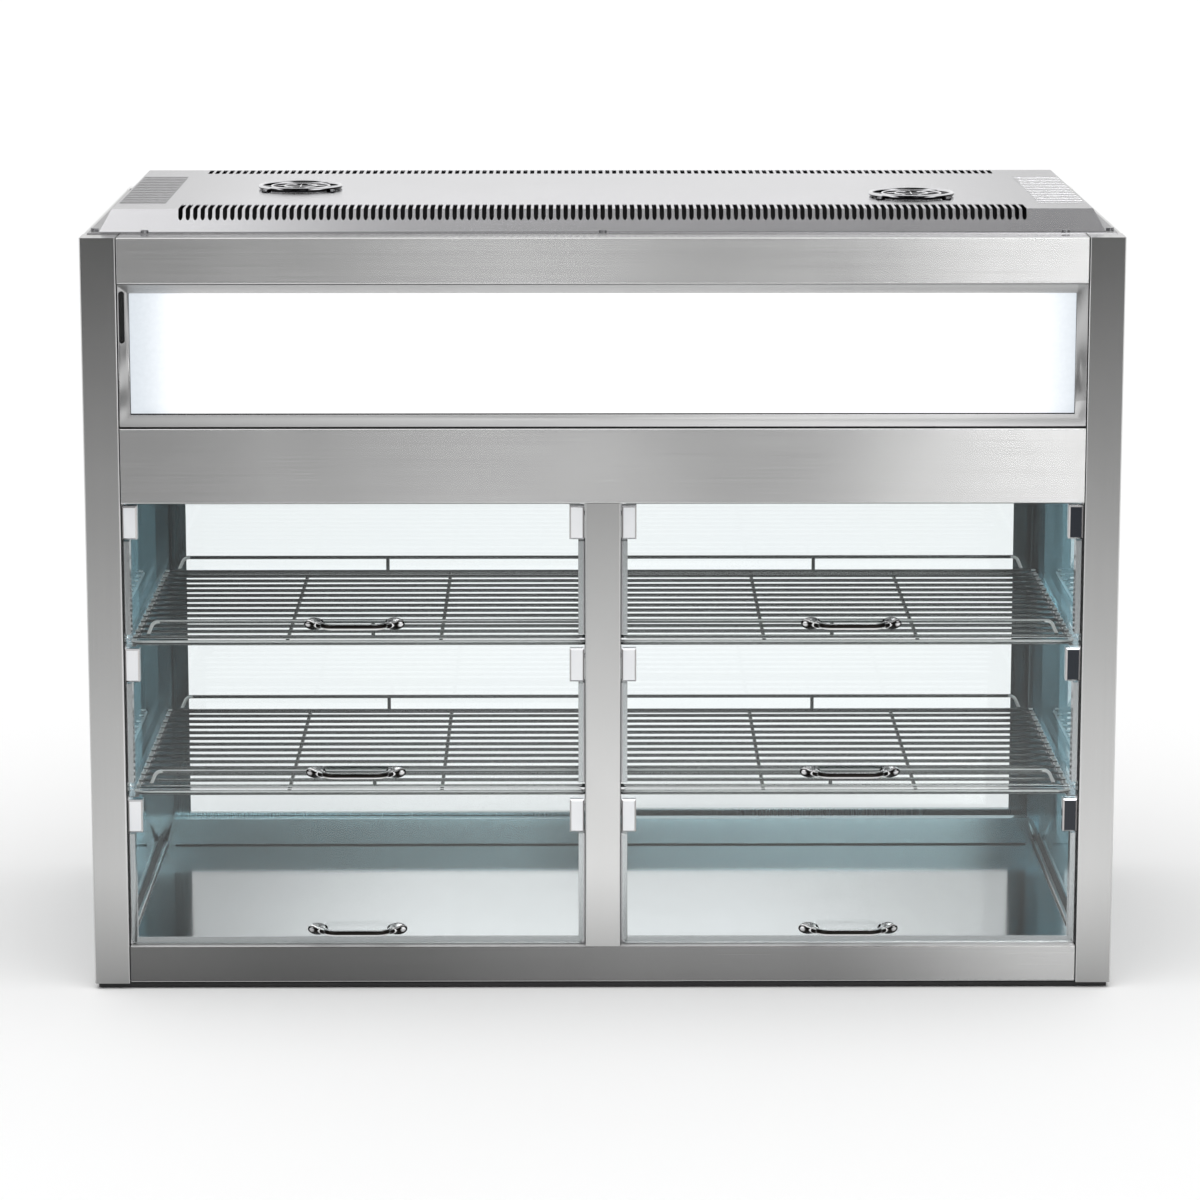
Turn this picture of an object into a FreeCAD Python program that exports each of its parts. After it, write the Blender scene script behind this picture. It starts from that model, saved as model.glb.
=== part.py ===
import FreeCAD, Part
import os, math, re

# Pass-through display case. +Z up, front towards -Y, millimetres.
# Origin: centre of the footprint, on the ground under the feet.
V3 = FreeCAD.Vector
doc = FreeCAD.newDocument("display_case")
sheet = doc.addObject("Spreadsheet::Sheet", "Params")
VAL = {}
DIMS = [
    # overall frame
    ("half_w", 700, "half width over the posts"), ("half_d", 350, "half depth over the posts"),
    ("post_w", 48, "post face width"), ("post_d", 50, "post depth"), ("post_r", 2.5, "post edge radius"),
    ("post_base", 8, "underside of the posts"), ("post_top", 1039, "top of the posts"), ("wall_t", 1.5, "tube wall"),
    ("mid_half", 24, "half width of the centre post"), ("seam", 1.2, "seam between rail ends and posts"),
    # front rails
    ("rail_base", 10, "underside of the rails"), ("sill_z", 60, "top of the bottom rail"),
    ("head_z", 679, "underside of the middle rail"), ("midrail_top", 781, "top of the middle rail"),
    ("toprail_z", 977, "underside of the top rail"), ("midrail_d", 7.2, "depth of the middle rail"),
    ("toprail_d", 66, "depth of the top rail"),
    # light box
    ("bez_x", 650.7, "bezel outer half width"), ("bez_ix", 637, "bezel inner half width"),
    ("bez_lo", 783.6, "bezel outer bottom"), ("bez_ilo", 798, "bezel inner bottom"),
    ("bez_ihi", 963, "bezel inner top"), ("bez_hi", 976, "bezel outer top"),
    ("bez_yf", 348, "bezel front edge distance"), ("bez_yi", 336, "bezel inner edge distance"), ("bez_yb", 331.5, "bezel back"),
    ("opal_t", 3, "diffuser thickness"),
    # doors
    ("glass_t", 6, "door glass thickness"), ("glass_y", 335, "door glass back face distance"), ("glass_gap", 3, "glass to post gap"),
    ("glass_r", 7, "glass corner radius"),
    ("up_lo", 491, "upper door bottom"), ("up_hi", 677, "upper door top"), ("up_clamp", 675, "upper clamp top"),
    ("me_lo", 284, "middle door bottom"), ("me_hi", 488, "middle door top"), ("me_clamp", 478, "middle clamp top"),
    ("lo_lo", 62.5, "lower door bottom"), ("lo_hi", 281, "lower door top"), ("lo_clamp", 267, "lower clamp top"),
    ("clamp_w", 20, "clamp width"), ("clamp_h", 46, "clamp height"), ("clamp_f", 5, "clamp front jaw"), ("clamp_b", 7, "clamp back jaw"),
    ("clamp_out", 1.6, "clamp beyond the glass edge"), ("clamp_e", 2.2, "clamp edge bevel"),
    ("pin_drop", 12, "hinge axis under the clamp top"), ("pin_rad", 2.5, "hinge pin radius"), ("pin_fit", 0.06, "hinge radial clearance"),
    ("pull_half", 52, "half spacing of the handle screws"), ("pull_out", 25, "handle bar stand-off"), ("pull_rad", 4.2, "handle bar radius"),
    ("pull_bend", 16, "handle bend radius"), ("pull_flat", 27, "half length of the straight bar"), ("pull_start", 52.3, "bar end offset"), ("pull_lead", 6.3, "bar end above the glass"),
    ("pull_up", 21, "handle above the door bottom"),
    ("foot_a", 14, "handle foot half length"), ("foot_b", 8.6, "handle foot half height"), ("foot_mid", 54.5, "handle foot centre offset"),
    ("pull_hole", 3.2, "glass hole radius"),
    # stops
    ("stop_w", 9.5, "stop strip width"), ("stop_yf", 334.4, "stop front distance"), ("stop_yb", 310, "stop back distance"),
    ("sill_h", 11, "sill strip height"),
    # racks
    ("rack_up", 476, "upper rack frame height"), ("rack_lo", 265, "lower rack frame height"),
    ("rack_xi", 8, "rack inner end"), ("rack_xo", 648, "rack outer end"), ("rack_yf", 295, "rack front distance"), ("rack_yb", 235, "rack rear distance"),
    ("rack_rad", 3.4, "rack frame wire radius"), ("wire_rad", 2.5, "rack wire radius"), ("rack_bend", 14, "rack corner radius"),
    ("rail_up", 26, "rack rail height"), ("rail_in", 31, "rack rail inset at the outer end"), ("rail_mid", 6, "rack rail inset at the inner end"), ("rail_bend", 10, "rack rail bend radius"),
    ("rail_rad", 2.6, "rack rail wire radius"), ("rail_off", 26, "rack rail inset from the edge"),
    # inside
    ("floor_z", 62, "side rail top"), ("plate_z", 56, "floor top"), ("side_xi", 662, "side glass inner face"), ("side_t", 6, "side glass thickness"),
    ("side_hi", 684, "side glass top"), ("ceil_z", 687, "ceiling underside"),
    # rear
    ("trim_y", 240, "rear trim front"), ("trim_d", 18, "rear trim depth"), ("trim_xi", 642.5, "rear trim inner edge"), ("trim_z", 96.5, "rear trim bottom top"),
    ("slide_l", 262, "left sliding door front"), ("slide_r", 280, "right sliding door front"), ("slide_t", 14, "sliding door thickness"),
    ("slide_xo", 649, "sliding door outer edge"), ("slide_xm", 16, "sliding door overlap past the centre"), ("stile_w", 30, "sliding door member width"),
    ("slide_lo", 67.6, "sliding door bottom"), ("slide_hi", 686, "sliding door top"), ("pane_t", 4, "sliding pane thickness"), ("track_z", 72, "track top"),
    # cover
    ("cov_x", 680, "cover base half width"), ("cov_y", 290, "cover base half depth"), ("cov_fx", 663, "cover flat half width"), ("cov_fy", 273, "cover flat half depth"),
    ("cov_z", 1070, "cover flat height"), ("cov_t", 1.2, "cover sheet"), ("flange", 14, "cover flange width"),
    ("slot_n", 115, "slots in a row"), ("slot_pitch", 10, "slot pitch"), ("slot_w", 6, "slot width"), ("slot_out", 281, "slot outer end"), ("slot_rear", 270, "rear slot outer end"), ("slot_in", 218, "slot inner end"),
    ("vent_xi", 597, "end vent inner"), ("vent_xo", 660, "end vent outer"), ("vent_yf", 196, "end vent front"), ("vent_n", 16, "end vent count"), ("vent_pitch", 23.5, "end vent pitch"),
    ("fan_lx", 424, "left fan offset"), ("fan_ly", 5, "left fan offset to the front"), ("fan_rx", 429, "right fan offset"), ("fan_ry", 112, "right fan offset to the front"),
    ("fan_half", 59.5, "fan half side"), ("fan_bore", 56, "fan bore radius"), ("fan_h", 34, "fan height"), ("guard_r", 56.4, "guard ring radius"), ("guard_wire", 1.7, "guard wire radius"), ("guard_up", 7.2, "guard height"), ("rim_rad", 3.0, "guard rim radius"),
    ("blade_n", 7, "fan blades"), ("rotor_r", 53, "rotor radius"), ("hub_r", 21, "rotor hub radius"),
    # feet and rear controls
    ("foot_r", 20, "foot radius"), ("foot_x", 676, "foot offset"), ("foot_y", 262, "foot offset in depth"),
    ("panel_z", 692, "rear panel bottom"), ("ctl_z", 860, "control height"), ("knob_x", 330, "knob offset"), ("sw_a", 480, "main switch offset"),
    ("rock_r", 12, "rocker radius"), ("rock_w", 13, "rocker width"), ("rock_y", 344, "rocker axis"),
    ("gland_x", 560, "gland offset"), ("gland_z", 740, "gland height"), ("gland_bore", 5, "gland bore radius"),
    ("heat_rad", 4, "heater rod radius"), ("heat_z", 36, "heater height"),
]
for i, (alias, value, note) in enumerate(DIMS):
    sheet.set("A%d" % (i + 1), note)
    sheet.set("B%d" % (i + 1), str(value))
    sheet.setAlias("B%d" % (i + 1), alias)
    VAL[alias] = float(value)
doc.recompute()
WORD = re.compile(r"[a-z]+(?:_[a-z]+)+|\b(?:seam|flange)\b")


def X(expr):
    """Turn dimension words into sheet references."""
    return WORD.sub(lambda m: "Params." + m.group(0) if m.group(0) in VAL else m.group(0), str(expr))


N = [0]


def new(kind, name):
    N[0] += 1
    return doc.addObject(kind, "%s_%03d" % (name, N[0]))


def box(name, x0, x1, y0, y1, z0, z1):
    o = new("Part::Box", name)
    for prop, a, b in (("Length", x0, x1), ("Width", y0, y1), ("Height", z0, z1)):
        o.setExpression(prop, X("(%s) - (%s)" % (b, a)))
    for ax, a in (("x", x0), ("y", y0), ("z", z0)):
        o.setExpression("Placement.Base." + ax, X(a))
    return o


ROT = {"z": FreeCAD.Rotation(), "x": FreeCAD.Rotation(V3(0, 1, 0), 90), "y": FreeCAD.Rotation(V3(1, 0, 0), -90)}


def cyl(name, rad, length, axis, x, y, z):
    """Cylinder starting at x, y, z and running along +axis."""
    o = new("Part::Cylinder", name)
    o.setExpression("Radius", X(rad))
    o.setExpression("Height", X(length))
    o.Placement = FreeCAD.Placement(V3(0, 0, 0), ROT[axis])
    for ax, a in (("x", x), ("y", y), ("z", z)):
        o.setExpression("Placement.Base." + ax, X(a))
    return o


def torus(name, big, small, x, y, z, rot=None, arc=None):
    o = new("Part::Torus", name)
    o.setExpression("Radius1", X(big))
    o.setExpression("Radius2", X(small))
    if arc is not None:
        o.Angle3 = arc
    if rot is not None:
        o.Placement = FreeCAD.Placement(V3(0, 0, 0), rot)
    for ax, a in (("x", x), ("y", y), ("z", z)):
        o.setExpression("Placement.Base." + ax, X(a))
    return o


def cut(base, *tools):
    o = new("Part::Cut", "cut")
    o.Base = base
    o.Tool = tools[0] if len(tools) == 1 else comp("tools", *tools)
    return o


def fuse(*parts):
    o = new("Part::MultiFuse", "fuse")
    o.Shapes = list(parts)
    return o


def comp(name, *parts):
    o = new("Part::Compound", name)
    o.Links = list(parts)
    return o


def mirror(part, normal=(1, 0, 0)):
    o = new("Part::Mirroring", "mirror")
    o.Source = part
    o.Base = V3(0, 0, 0)
    o.Normal = V3(*normal)
    return o


def fillet(base, rad, pick):
    """Round the straight edges of base that pick(p0, p1) chooses."""
    doc.recompute()
    o = new("Part::Fillet", "fillet")
    o.Base = base
    r = VAL[rad] if rad in VAL else float(rad)
    es = []
    for i, e in enumerate(base.Shape.Edges):
        if len(e.Vertexes) == 2 and pick(e.Vertexes[0].Point, e.Vertexes[1].Point):
            es.append((i + 1, r, r))
    o.Edges = es
    doc.recompute()
    return o


def wedge(name, a0, a1, b0, b1, w0, w1, d0, d1, e0, e1, upright):
    """Mitred strip: ends a0..a1 at width w0 and b0..b1 at width w1; depth d0..d1 at w0, e0..e1 at w1 (Y values)."""
    o = new("Part::Wedge", name)
    sgn = "" if upright else "-1*"
    if not upright:
        d0, d1, e0, e1 = d1, d0, e1, e0
    for prop, v in (("Xmin", a0), ("Xmax", a1), ("X2min", b0), ("X2max", b1), ("Ymin", w0), ("Ymax", w1)):
        o.setExpression(prop, X(v))
    for prop, v in (("Zmin", d0), ("Zmax", d1), ("Z2min", e0), ("Z2max", e1)):
        o.setExpression(prop, X("%s(%s)" % (sgn, v)))
    o.Placement = FreeCAD.Placement(V3(0, 0, 0), FreeCAD.Rotation(V3(1, 1, 1), -120) if upright else FreeCAD.Rotation(V3(1, 0, 0), 90))
    return o


def mitre_frame(name, xo0, xi0, xi1, xo1, zo0, zi0, zi1, zo1, do0, do1, di0, di1):
    return [
        wedge(name + "_low", xo0, xo1, xi0, xi1, zo0, zi0, do0, do1, di0, di1, False),
        wedge(name + "_top", xi0, xi1, xo0, xo1, zi1, zo1, di0, di1, do0, do1, False),
        wedge(name + "_left", zo0, zo1, zi0, zi1, xo0, xi0, do0, do1, di0, di1, True),
        wedge(name + "_right", zi0, zi1, zo0, zo1, xi1, xo1, di0, di1, do0, do1, True),
    ]


def plane(body, role):
    return [f for f in body.Origin.OriginFeatures if f.Role == role][0]


def sketch(body, name, role):
    s = body.newObject("Sketcher::SketchObject", name)
    s.AttachmentSupport = [(plane(body, role), "")]
    s.MapMode = "FlatFace"
    return s


import Sketcher
C = Sketcher.Constraint


def rect(sk, w, h, x0=None, y0=None):
    """Rectangle from the sketch origin, or from x0, y0 (both positive), sized by the sheet."""
    n = sk.GeometryCount
    pts = [V3(1, 1, 0), V3(11, 1, 0), V3(11, 11, 0), V3(1, 11, 0)]
    for i in range(4):
        sk.addGeometry(Part.LineSegment(pts[i], pts[(i + 1) % 4]))
    for i in range(4):
        sk.addConstraint(C("Coincident", n + i, 2, n + (i + 1) % 4, 1))
    for i, kind in ((0, "Horizontal"), (1, "Vertical"), (2, "Horizontal"), (3, "Vertical")):
        sk.addConstraint(C(kind, n + i))
    if x0 is None:
        sk.addConstraint(C("Coincident", n, 1, -1, 1))
    else:
        a = sk.addConstraint(C("DistanceX", -1, 1, n, 1, 1.0))
        b = sk.addConstraint(C("DistanceY", -1, 1, n, 1, 1.0))
        sk.setExpression("Constraints[%d]" % a, X(x0))
        sk.setExpression("Constraints[%d]" % b, X(y0))
    a = sk.addConstraint(C("DistanceX", n, 1, n, 2, 10.0))
    b = sk.addConstraint(C("DistanceY", n + 1, 1, n + 1, 2, 10.0))
    sk.setExpression("Constraints[%d]" % a, X(w))
    sk.setExpression("Constraints[%d]" % b, X(h))


def circle(sk, x, y, rad):
    n = sk.addGeometry(Part.Circle(V3(5, 5, 0), V3(0, 0, 1), 2))
    a = sk.addConstraint(C("DistanceX", -1, 1, n, 3, 5.0))
    b = sk.addConstraint(C("DistanceY", -1, 1, n, 3, 5.0))
    c = sk.addConstraint(C("Radius", n, 2.0))
    for i, e in ((a, x), (b, y), (c, rad)):
        sk.setExpression("Constraints[%d]" % i, X(e))


def pad(body, sk, name, length, rev=False):
    p = body.newObject("PartDesign::Pad", name)
    p.Profile = sk
    p.setExpression("Length", X(length))
    p.Reversed = rev
    doc.recompute()
    return p


def pocket(body, sk, name, length, rev=False):
    before = body.Shape.Volume
    p = body.newObject("PartDesign::Pocket", name)
    p.Profile = sk
    p.setExpression("Length", X(length))
    p.Reversed = rev
    doc.recompute()
    if not body.Shape.Volume < before - 1e-6:
        raise RuntimeError("pocket cuts nothing: " + name)
    return p


def body_edges(body, name, kind, size, pick):
    """Round or bevel the edges of the body's tip that pick(p0, p1) chooses."""
    doc.recompute()
    tip = body.Tip
    names = []
    for i, e in enumerate(tip.Shape.Edges):
        if len(e.Vertexes) == 2 and pick(e.Vertexes[0].Point, e.Vertexes[1].Point):
            names.append("Edge%d" % (i + 1))
    f = body.newObject("PartDesign::" + kind, name)
    f.Base = (tip, names)
    f.setExpression("Radius" if kind == "Fillet" else "Size", X(size))
    doc.recompute()
    return f


def near(a, b):
    return abs(a - b) < 1e-3


def along(axis):
    i = "xyz".index(axis)
    return lambda p, q: all(near(p[j], q[j]) for j in range(3) if j != i)


NODES = []


def node(label, *parts):
    o = parts[0] if len(parts) == 1 else comp(label, *parts)
    if any(o is x[1] for x in NODES):
        o = comp(label, o)
    o.Label = label
    NODES.append((label, o))
    return o


# ---------------------------------------------------------------- posts
YF, YB = "-half_d", "half_d"
PINS = {"up": "up_clamp - pin_drop", "me": "me_clamp - pin_drop", "lo": "lo_clamp - pin_drop"}
AXIS_Y = "-glass_y + clamp_b/2"


def tube_z(name, x0, x1, y0, y1, z0, z1, closed=True):
    outer = fillet(box(name, x0, x1, y0, y1, z0, z1), "post_r", along("z"))
    top = "(%s) - wall_t" % z1 if closed else "(%s) + 1" % z1
    inner = box(name + "_in", "(%s) + wall_t" % x0, "(%s) - wall_t" % x1, "(%s) + wall_t" % y0, "(%s) - wall_t" % y1, "(%s) - 1" % z0, top)
    return cut(outer, inner)


left = tube_z("post_fl", "-half_w", "-half_w + post_w", YF, "-half_d + post_d", "post_base", "post_top")
bores = [cyl("bore", "pin_rad", "4", "x", "-half_w + post_w - 3", AXIS_Y, z) for z in PINS.values()]
left = cut(left, *bores)
rear = tube_z("post_rl", "-half_w", "-half_w + post_w", "half_d - post_d", YB, "post_base", "post_top")
node("corner_posts", left, mirror(left), rear, mirror(rear))
centre = tube_z("post_c", "-mid_half", "mid_half", YF, "-half_d + post_d", "sill_z", "head_z", False)
bores = [cyl("bore", "pin_rad", "4", "x", "-mid_half - 1", AXIS_Y, z) for z in PINS.values()]
bores += [cyl("bore", "pin_rad", "4", "x", "mid_half - 3", AXIS_Y, z) for z in PINS.values()]
node("centre_posts", cut(centre, *bores), tube_z("post_rc", "-15", "15", "rack_yb + 3", "trim_y + trim_d", "trim_z + 0.05", "slide_hi - 20.05"))

# ---------------------------------------------------------------- rails
RX0, RX1 = "-half_w + post_w + seam", "half_w - post_w - seam"


def long_front(p, q):
    return along("x")(p, q) and p.y < -VAL["half_d"] + 2


def tube_x(name, x0, x1, y0, y1, z0, z1, pick=None):
    o = box(name, x0, x1, y0, y1, z0, z1)
    if pick:
        o = fillet(o, "1.6", pick)
    return cut(o, box(name + "_in", "(%s) - 1" % x0, "(%s) + 1" % x1, "(%s) + wall_t" % y0, "(%s) - wall_t" % y1, "(%s) + wall_t" % z0, "(%s) - wall_t" % z1))


node("front_bottom_rail", tube_x("rail_b", RX0, RX1, "-half_d + 0.4", "-half_d + post_d", "rail_base", "sill_z", long_front))
o = fillet(box("rail_m", RX0, RX1, "-half_d + 0.4", "-half_d + midrail_d", "head_z", "midrail_top"), "1.6", long_front)
node("front_mid_rail", cut(o, box("rail_m_in", "-half_w + post_w + seam + wall_t", "half_w - post_w - seam - wall_t", "-half_d + 0.4 + 1.8", "-half_d + midrail_d + 1", "head_z + 1.8", "midrail_top - 1.8")))
node("front_top_rail", tube_x("rail_t", RX0, RX1, "-half_d + 0.4", "-half_d + toprail_d", "toprail_z", "post_top", long_front))
sill = box("sill", RX0, RX1, "trim_y + trim_d + 1", "half_d - 0.4", "rail_base", "track_z")
node("rear_bottom_rail", cut(sill,
     box("sill_in", "-half_w", "half_w", "trim_y + trim_d + 1 + wall_t", "half_d - 0.4 - wall_t", "rail_base + wall_t", "track_z - 8"),
     box("groove_l", "-half_w", "half_w", "slide_l - 1", "slide_l + slide_t + 1", "slide_lo - 0.5", "track_z + 1"),
     box("groove_r", "-half_w", "half_w", "slide_r - 1", "slide_r + slide_t + 1", "slide_lo - 0.5", "track_z + 1")))
track = box("track", RX0, RX1, "trim_y + trim_d + 1", "half_d - post_d - 1", "slide_hi - 12", "slide_hi + 4")
node("rear_top_track", cut(track,
     box("tgroove_l", "-half_w", "half_w", "slide_l - 1", "slide_l + slide_t + 1", "slide_hi - 13", "slide_hi + 1"),
     box("tgroove_r", "-half_w", "half_w", "slide_r - 1", "slide_r + slide_t + 1", "slide_hi - 13", "slide_hi + 1")))
SY0, SY1 = "-half_d + post_d + 0.5", "half_d - post_d - 0.5"


def tube_y(name, x0, x1, z0, z1):
    o = box(name, x0, x1, SY0, SY1, z0, z1)
    o = fillet(o, "1.6", lambda p, q: along("y")(p, q) and p.x < -VAL["half_w"] + 2)
    return cut(o, box(name + "_in", "(%s) + wall_t" % x0, "(%s) - wall_t" % x1, "(%s) - 1" % SY0, "(%s) + 1" % SY1, "(%s) + wall_t" % z0, "(%s) - wall_t" % z1))


lo = tube_y("side_b", "-half_w + 0.5", "-half_w + post_w - 0.5", "rail_base", "floor_z")
hi = tube_y("side_m", "-half_w + 0.5", "-half_w + post_w - 0.5", "side_hi + 0.5", "side_hi + 46")
node("side_rails", lo, mirror(lo), hi, mirror(hi))
o = box("side_p", "-half_w + 0.5", "-half_w + 14", SY0, SY1, "side_hi + 46.5", "post_top - 0.3")
o = cut(o, box("side_p_in", "-half_w + 2", "-half_w + 15", "-half_d + post_d + 2", "half_d - post_d - 2", "side_hi + 48", "post_top - 1.8"))
node("side_header_panels", o, mirror(o))

# ---------------------------------------------------------------- side glass and beads
g = new("PartDesign::Body", "side_glass")
sk = sketch(g, "side_glass_profile", "YZ_Plane")
rect(sk, "2*half_d - 2*post_d - 1", "side_hi - floor_z - 0.3")
pad(g, sk, "side_glass_pad", "side_t")
g.setExpression("Placement.Base.x", X("side_xi"))
g.setExpression("Placement.Base.y", X(SY0))
g.setExpression("Placement.Base.z", X("floor_z + 0.2"))
node("side_glass_panels", g, mirror(g))
o = wedge("bead", "-half_d + post_d + 0.5", "trim_y - 0.5", "-half_d + post_d + 0.5", "trim_y - 0.5", "floor_z + 0.1", "floor_z + 10", "-5", "0", "-1.2", "0", False)
o.Placement = FreeCAD.Placement(V3(0, 0, 0), FreeCAD.Rotation(V3(0, 0, 1), 90) * FreeCAD.Rotation(V3(1, 0, 0), 90))
o.setExpression("Placement.Base.x", X("-side_xi + 0.05"))
beads = [o, mirror(o)]

# ---------------------------------------------------------------- floor, base pan, ceiling, feet
FX = "half_w - post_w - 0.3"
o = box("floor", "-(%s)" % FX, FX, "-half_d + post_d + 0.4", "trim_y + trim_d + 0.6", "plate_z - 16", "plate_z")
node("floor_plate", cut(o, box("floor_in", "-(%s) + 1.5" % FX, "%s - 1.5" % FX, "-half_d + post_d + 1.9", "trim_y + trim_d - 0.9", "plate_z - 17", "plate_z - 1.5")))
o = box("pan", "-(%s)" % FX, FX, "-half_d + post_d + 0.4", "trim_y + trim_d + 0.6", "rail_base + 0.5", "rail_base + 22")
node("base_pan", cut(o, box("pan_in", "-(%s) + 1.5" % FX, "%s - 1.5" % FX, "-half_d + post_d + 1.9", "trim_y + trim_d - 0.9", "rail_base + 2", "rail_base + 23")))
node("ceiling_panel", box("ceil", RX0, RX1, "-half_d + midrail_d + 0.4", "trim_y + trim_d + 0.6", "ceil_z", "ceil_z + 1.5"))
f = new("PartDesign::Body", "foot")
sk = sketch(f, "foot_profile", "XY_Plane")
circle(sk, "foot_r", "foot_r", "foot_r")
pad(f, sk, "foot_pad", "rail_base")
feet = []
for sx in ("-1", "1"):
    for sy in ("-1", "1"):
        c = comp("foot_at", f)
        c.setExpression("Placement.Base.x", X("%s*foot_x - foot_r" % sx))
        c.setExpression("Placement.Base.y", X("%s*foot_y - foot_r" % sy))
        feet.append(c)
node("feet", *feet)

# ---------------------------------------------------------------- door stops and rear trim
stops = []
for a, b in (("-half_w + post_w", "-half_w + post_w + stop_w"), ("-mid_half - stop_w", "-mid_half")):
    for row in ("up", "me", "lo"):
        z0 = "sill_z" if row == "lo" else row + "_lo + 5"
        s = box("stop", a, b, "-stop_yf", "-stop_yb", z0, row + "_clamp - clamp_h - 4")
        stops += [s, mirror(s)]
s = box("sill_stop", "-half_w + post_w + stop_w", "-mid_half - stop_w", "-stop_yf", "-stop_yf + 5", "sill_z", "sill_z + sill_h")
stops += [s, mirror(s)]
node("door_stops", *stops)
trim = mitre_frame("trim", "-side_xi + 0.3", "-trim_xi", "trim_xi", "side_xi - 0.3", "plate_z", "trim_z", "slide_hi - 20", "side_hi + 0.3",
                   "trim_y", "trim_y + trim_d", "trim_y", "trim_y + trim_d")
notch = [box("trim_notch", a, b, "trim_y - 1", "trim_y + trim_d + 1", "plate_z - 5", "floor_z + 0.15") for a, b in (("-half_w", "-half_w + post_w + 0.2"), ("half_w - post_w - 0.2", "half_w"))]
node("rear_trim", cut(trim[0], *notch), trim[1], cut(trim[2], notch[0]), cut(trim[3], notch[1]))

# ---------------------------------------------------------------- light box
bez = mitre_frame("bezel", "-bez_x", "-bez_ix", "bez_ix", "bez_x", "bez_lo", "bez_ilo", "bez_ihi", "bez_hi", "-bez_yf", "-bez_yb", "-bez_yi", "-bez_yb")
slot = fuse(box("bez_slot", "-bez_x + 1.6", "-bez_x + 8.4", "-half_d", "-bez_yb + 1", "bez_hi - 76", "bez_hi - 13"),
            cyl("bez_slot_a", "3.4", "30", "y", "-bez_x + 5", "-half_d", "bez_hi - 76"), cyl("bez_slot_b", "3.4", "30", "y", "-bez_x + 5", "-half_d", "bez_hi - 13"))
bez[2] = cut(bez[2], slot)
node("light_bezel", *bez)
o = box("gasket", "-bez_x + 0.8", "bez_x - 0.8", "-bez_yb + 0.05", "-bez_yb + 1.15", "bez_lo + 0.8", "bez_hi - 0.8")
o = cut(o, box("gasket_in", "-bez_ix + 0.4", "bez_ix - 0.4", "-bez_yb - 1", "-bez_yb + 2", "bez_ilo + 1.4", "bez_ihi - 0.4"))
node("glazing_seals", o, *beads)
p = new("PartDesign::Body", "opal")
sk = sketch(p, "opal_profile", "XZ_Plane")
rect(sk, "2*bez_x - 8", "bez_hi - bez_lo - 8")
pad(p, sk, "opal_pad", "opal_t")
for ax, e in (("x", "-bez_x + 4"), ("y", "-bez_yb + opal_t + 1.3"), ("z", "bez_lo + 4")):
    p.setExpression("Placement.Base." + ax, X(e))
node("light_diffuser", p)
o = box("tray", "-bez_x + 2", "bez_x - 2", "-bez_yb + opal_t + 1.5", "-half_d + toprail_d - 1", "bez_lo + 2", "bez_hi - 1")
node("light_reflector", cut(o, box("tray_in", "-bez_x + 3.5", "bez_x - 3.5", "-bez_yb", "-half_d + toprail_d - 2.5", "bez_lo + 3.5", "bez_hi - 2.5")))
bars = [box("led", "-bez_x + 40", "bez_x - 40", "-half_d + toprail_d - 6.5", "-half_d + toprail_d - 2.5", "bez_lo + %d" % z, "bez_lo + %d" % (z + 18)) for z in (34, 88, 142)]
node("lamp_bars", *bars)

# ---------------------------------------------------------------- doors
GW = "half_w - post_w - mid_half - 2*glass_gap"
BAY = "(half_w - post_w + mid_half)/2"
glass = {}
for row in ("up", "me", "lo"):
    b = new("PartDesign::Body", "glass_" + row)
    sk = sketch(b, "glass_profile_" + row, "XZ_Plane")
    rect(sk, GW, "%s_hi - %s_lo" % (row, row))
    pad(b, sk, "glass_pad_" + row, "glass_t")
    sk = sketch(b, "glass_holes_" + row, "XZ_Plane")
    circle(sk, "(%s)/2 - pull_half" % GW, "pull_up", "pull_hole")
    circle(sk, "(%s)/2 + pull_half" % GW, "pull_up", "pull_hole")
    pocket(b, sk, "glass_bores_" + row, "glass_t", True)
    body_edges(b, "glass_corners_" + row, "Fillet", "glass_r", along("y"))
    for ax, e in (("x", "-(%s)/2" % GW), ("y", "-glass_y")):
        b.setExpression("Placement.Base." + ax, X(e))
    glass[row] = b

# hinge clamp: block with a glass slot and a pin bore in its back jaw
k = new("PartDesign::Body", "clamp")
sk = sketch(k, "clamp_profile", "XZ_Plane")
rect(sk, "clamp_w", "clamp_h")
pad(k, sk, "clamp_pad", "clamp_f + glass_t + clamp_b")
body_edges(k, "clamp_bevel", "Chamfer", "clamp_e", lambda p, q: near(p.y, q.y) and p.y < -1)
slot = box("glass_slot", "clamp_out", "clamp_w + 1", "-clamp_b - glass_t", "-clamp_b", "-1", "clamp_h + 1")
bore = cyl("pin_bore", "pin_rad + pin_fit", "clamp_w - 4", "x", "-1", "-clamp_b/2", "clamp_h - pin_drop")
clamp_l = cut(k, slot, bore)
pair_l = comp("clamp_place", clamp_l)
for ax, e in (("x", "-(%s)/2 - clamp_out" % GW), ("y", "-glass_y + clamp_b")):
    pair_l.setExpression("Placement.Base." + ax, X(e))
pair_r = mirror(pair_l)

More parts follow.
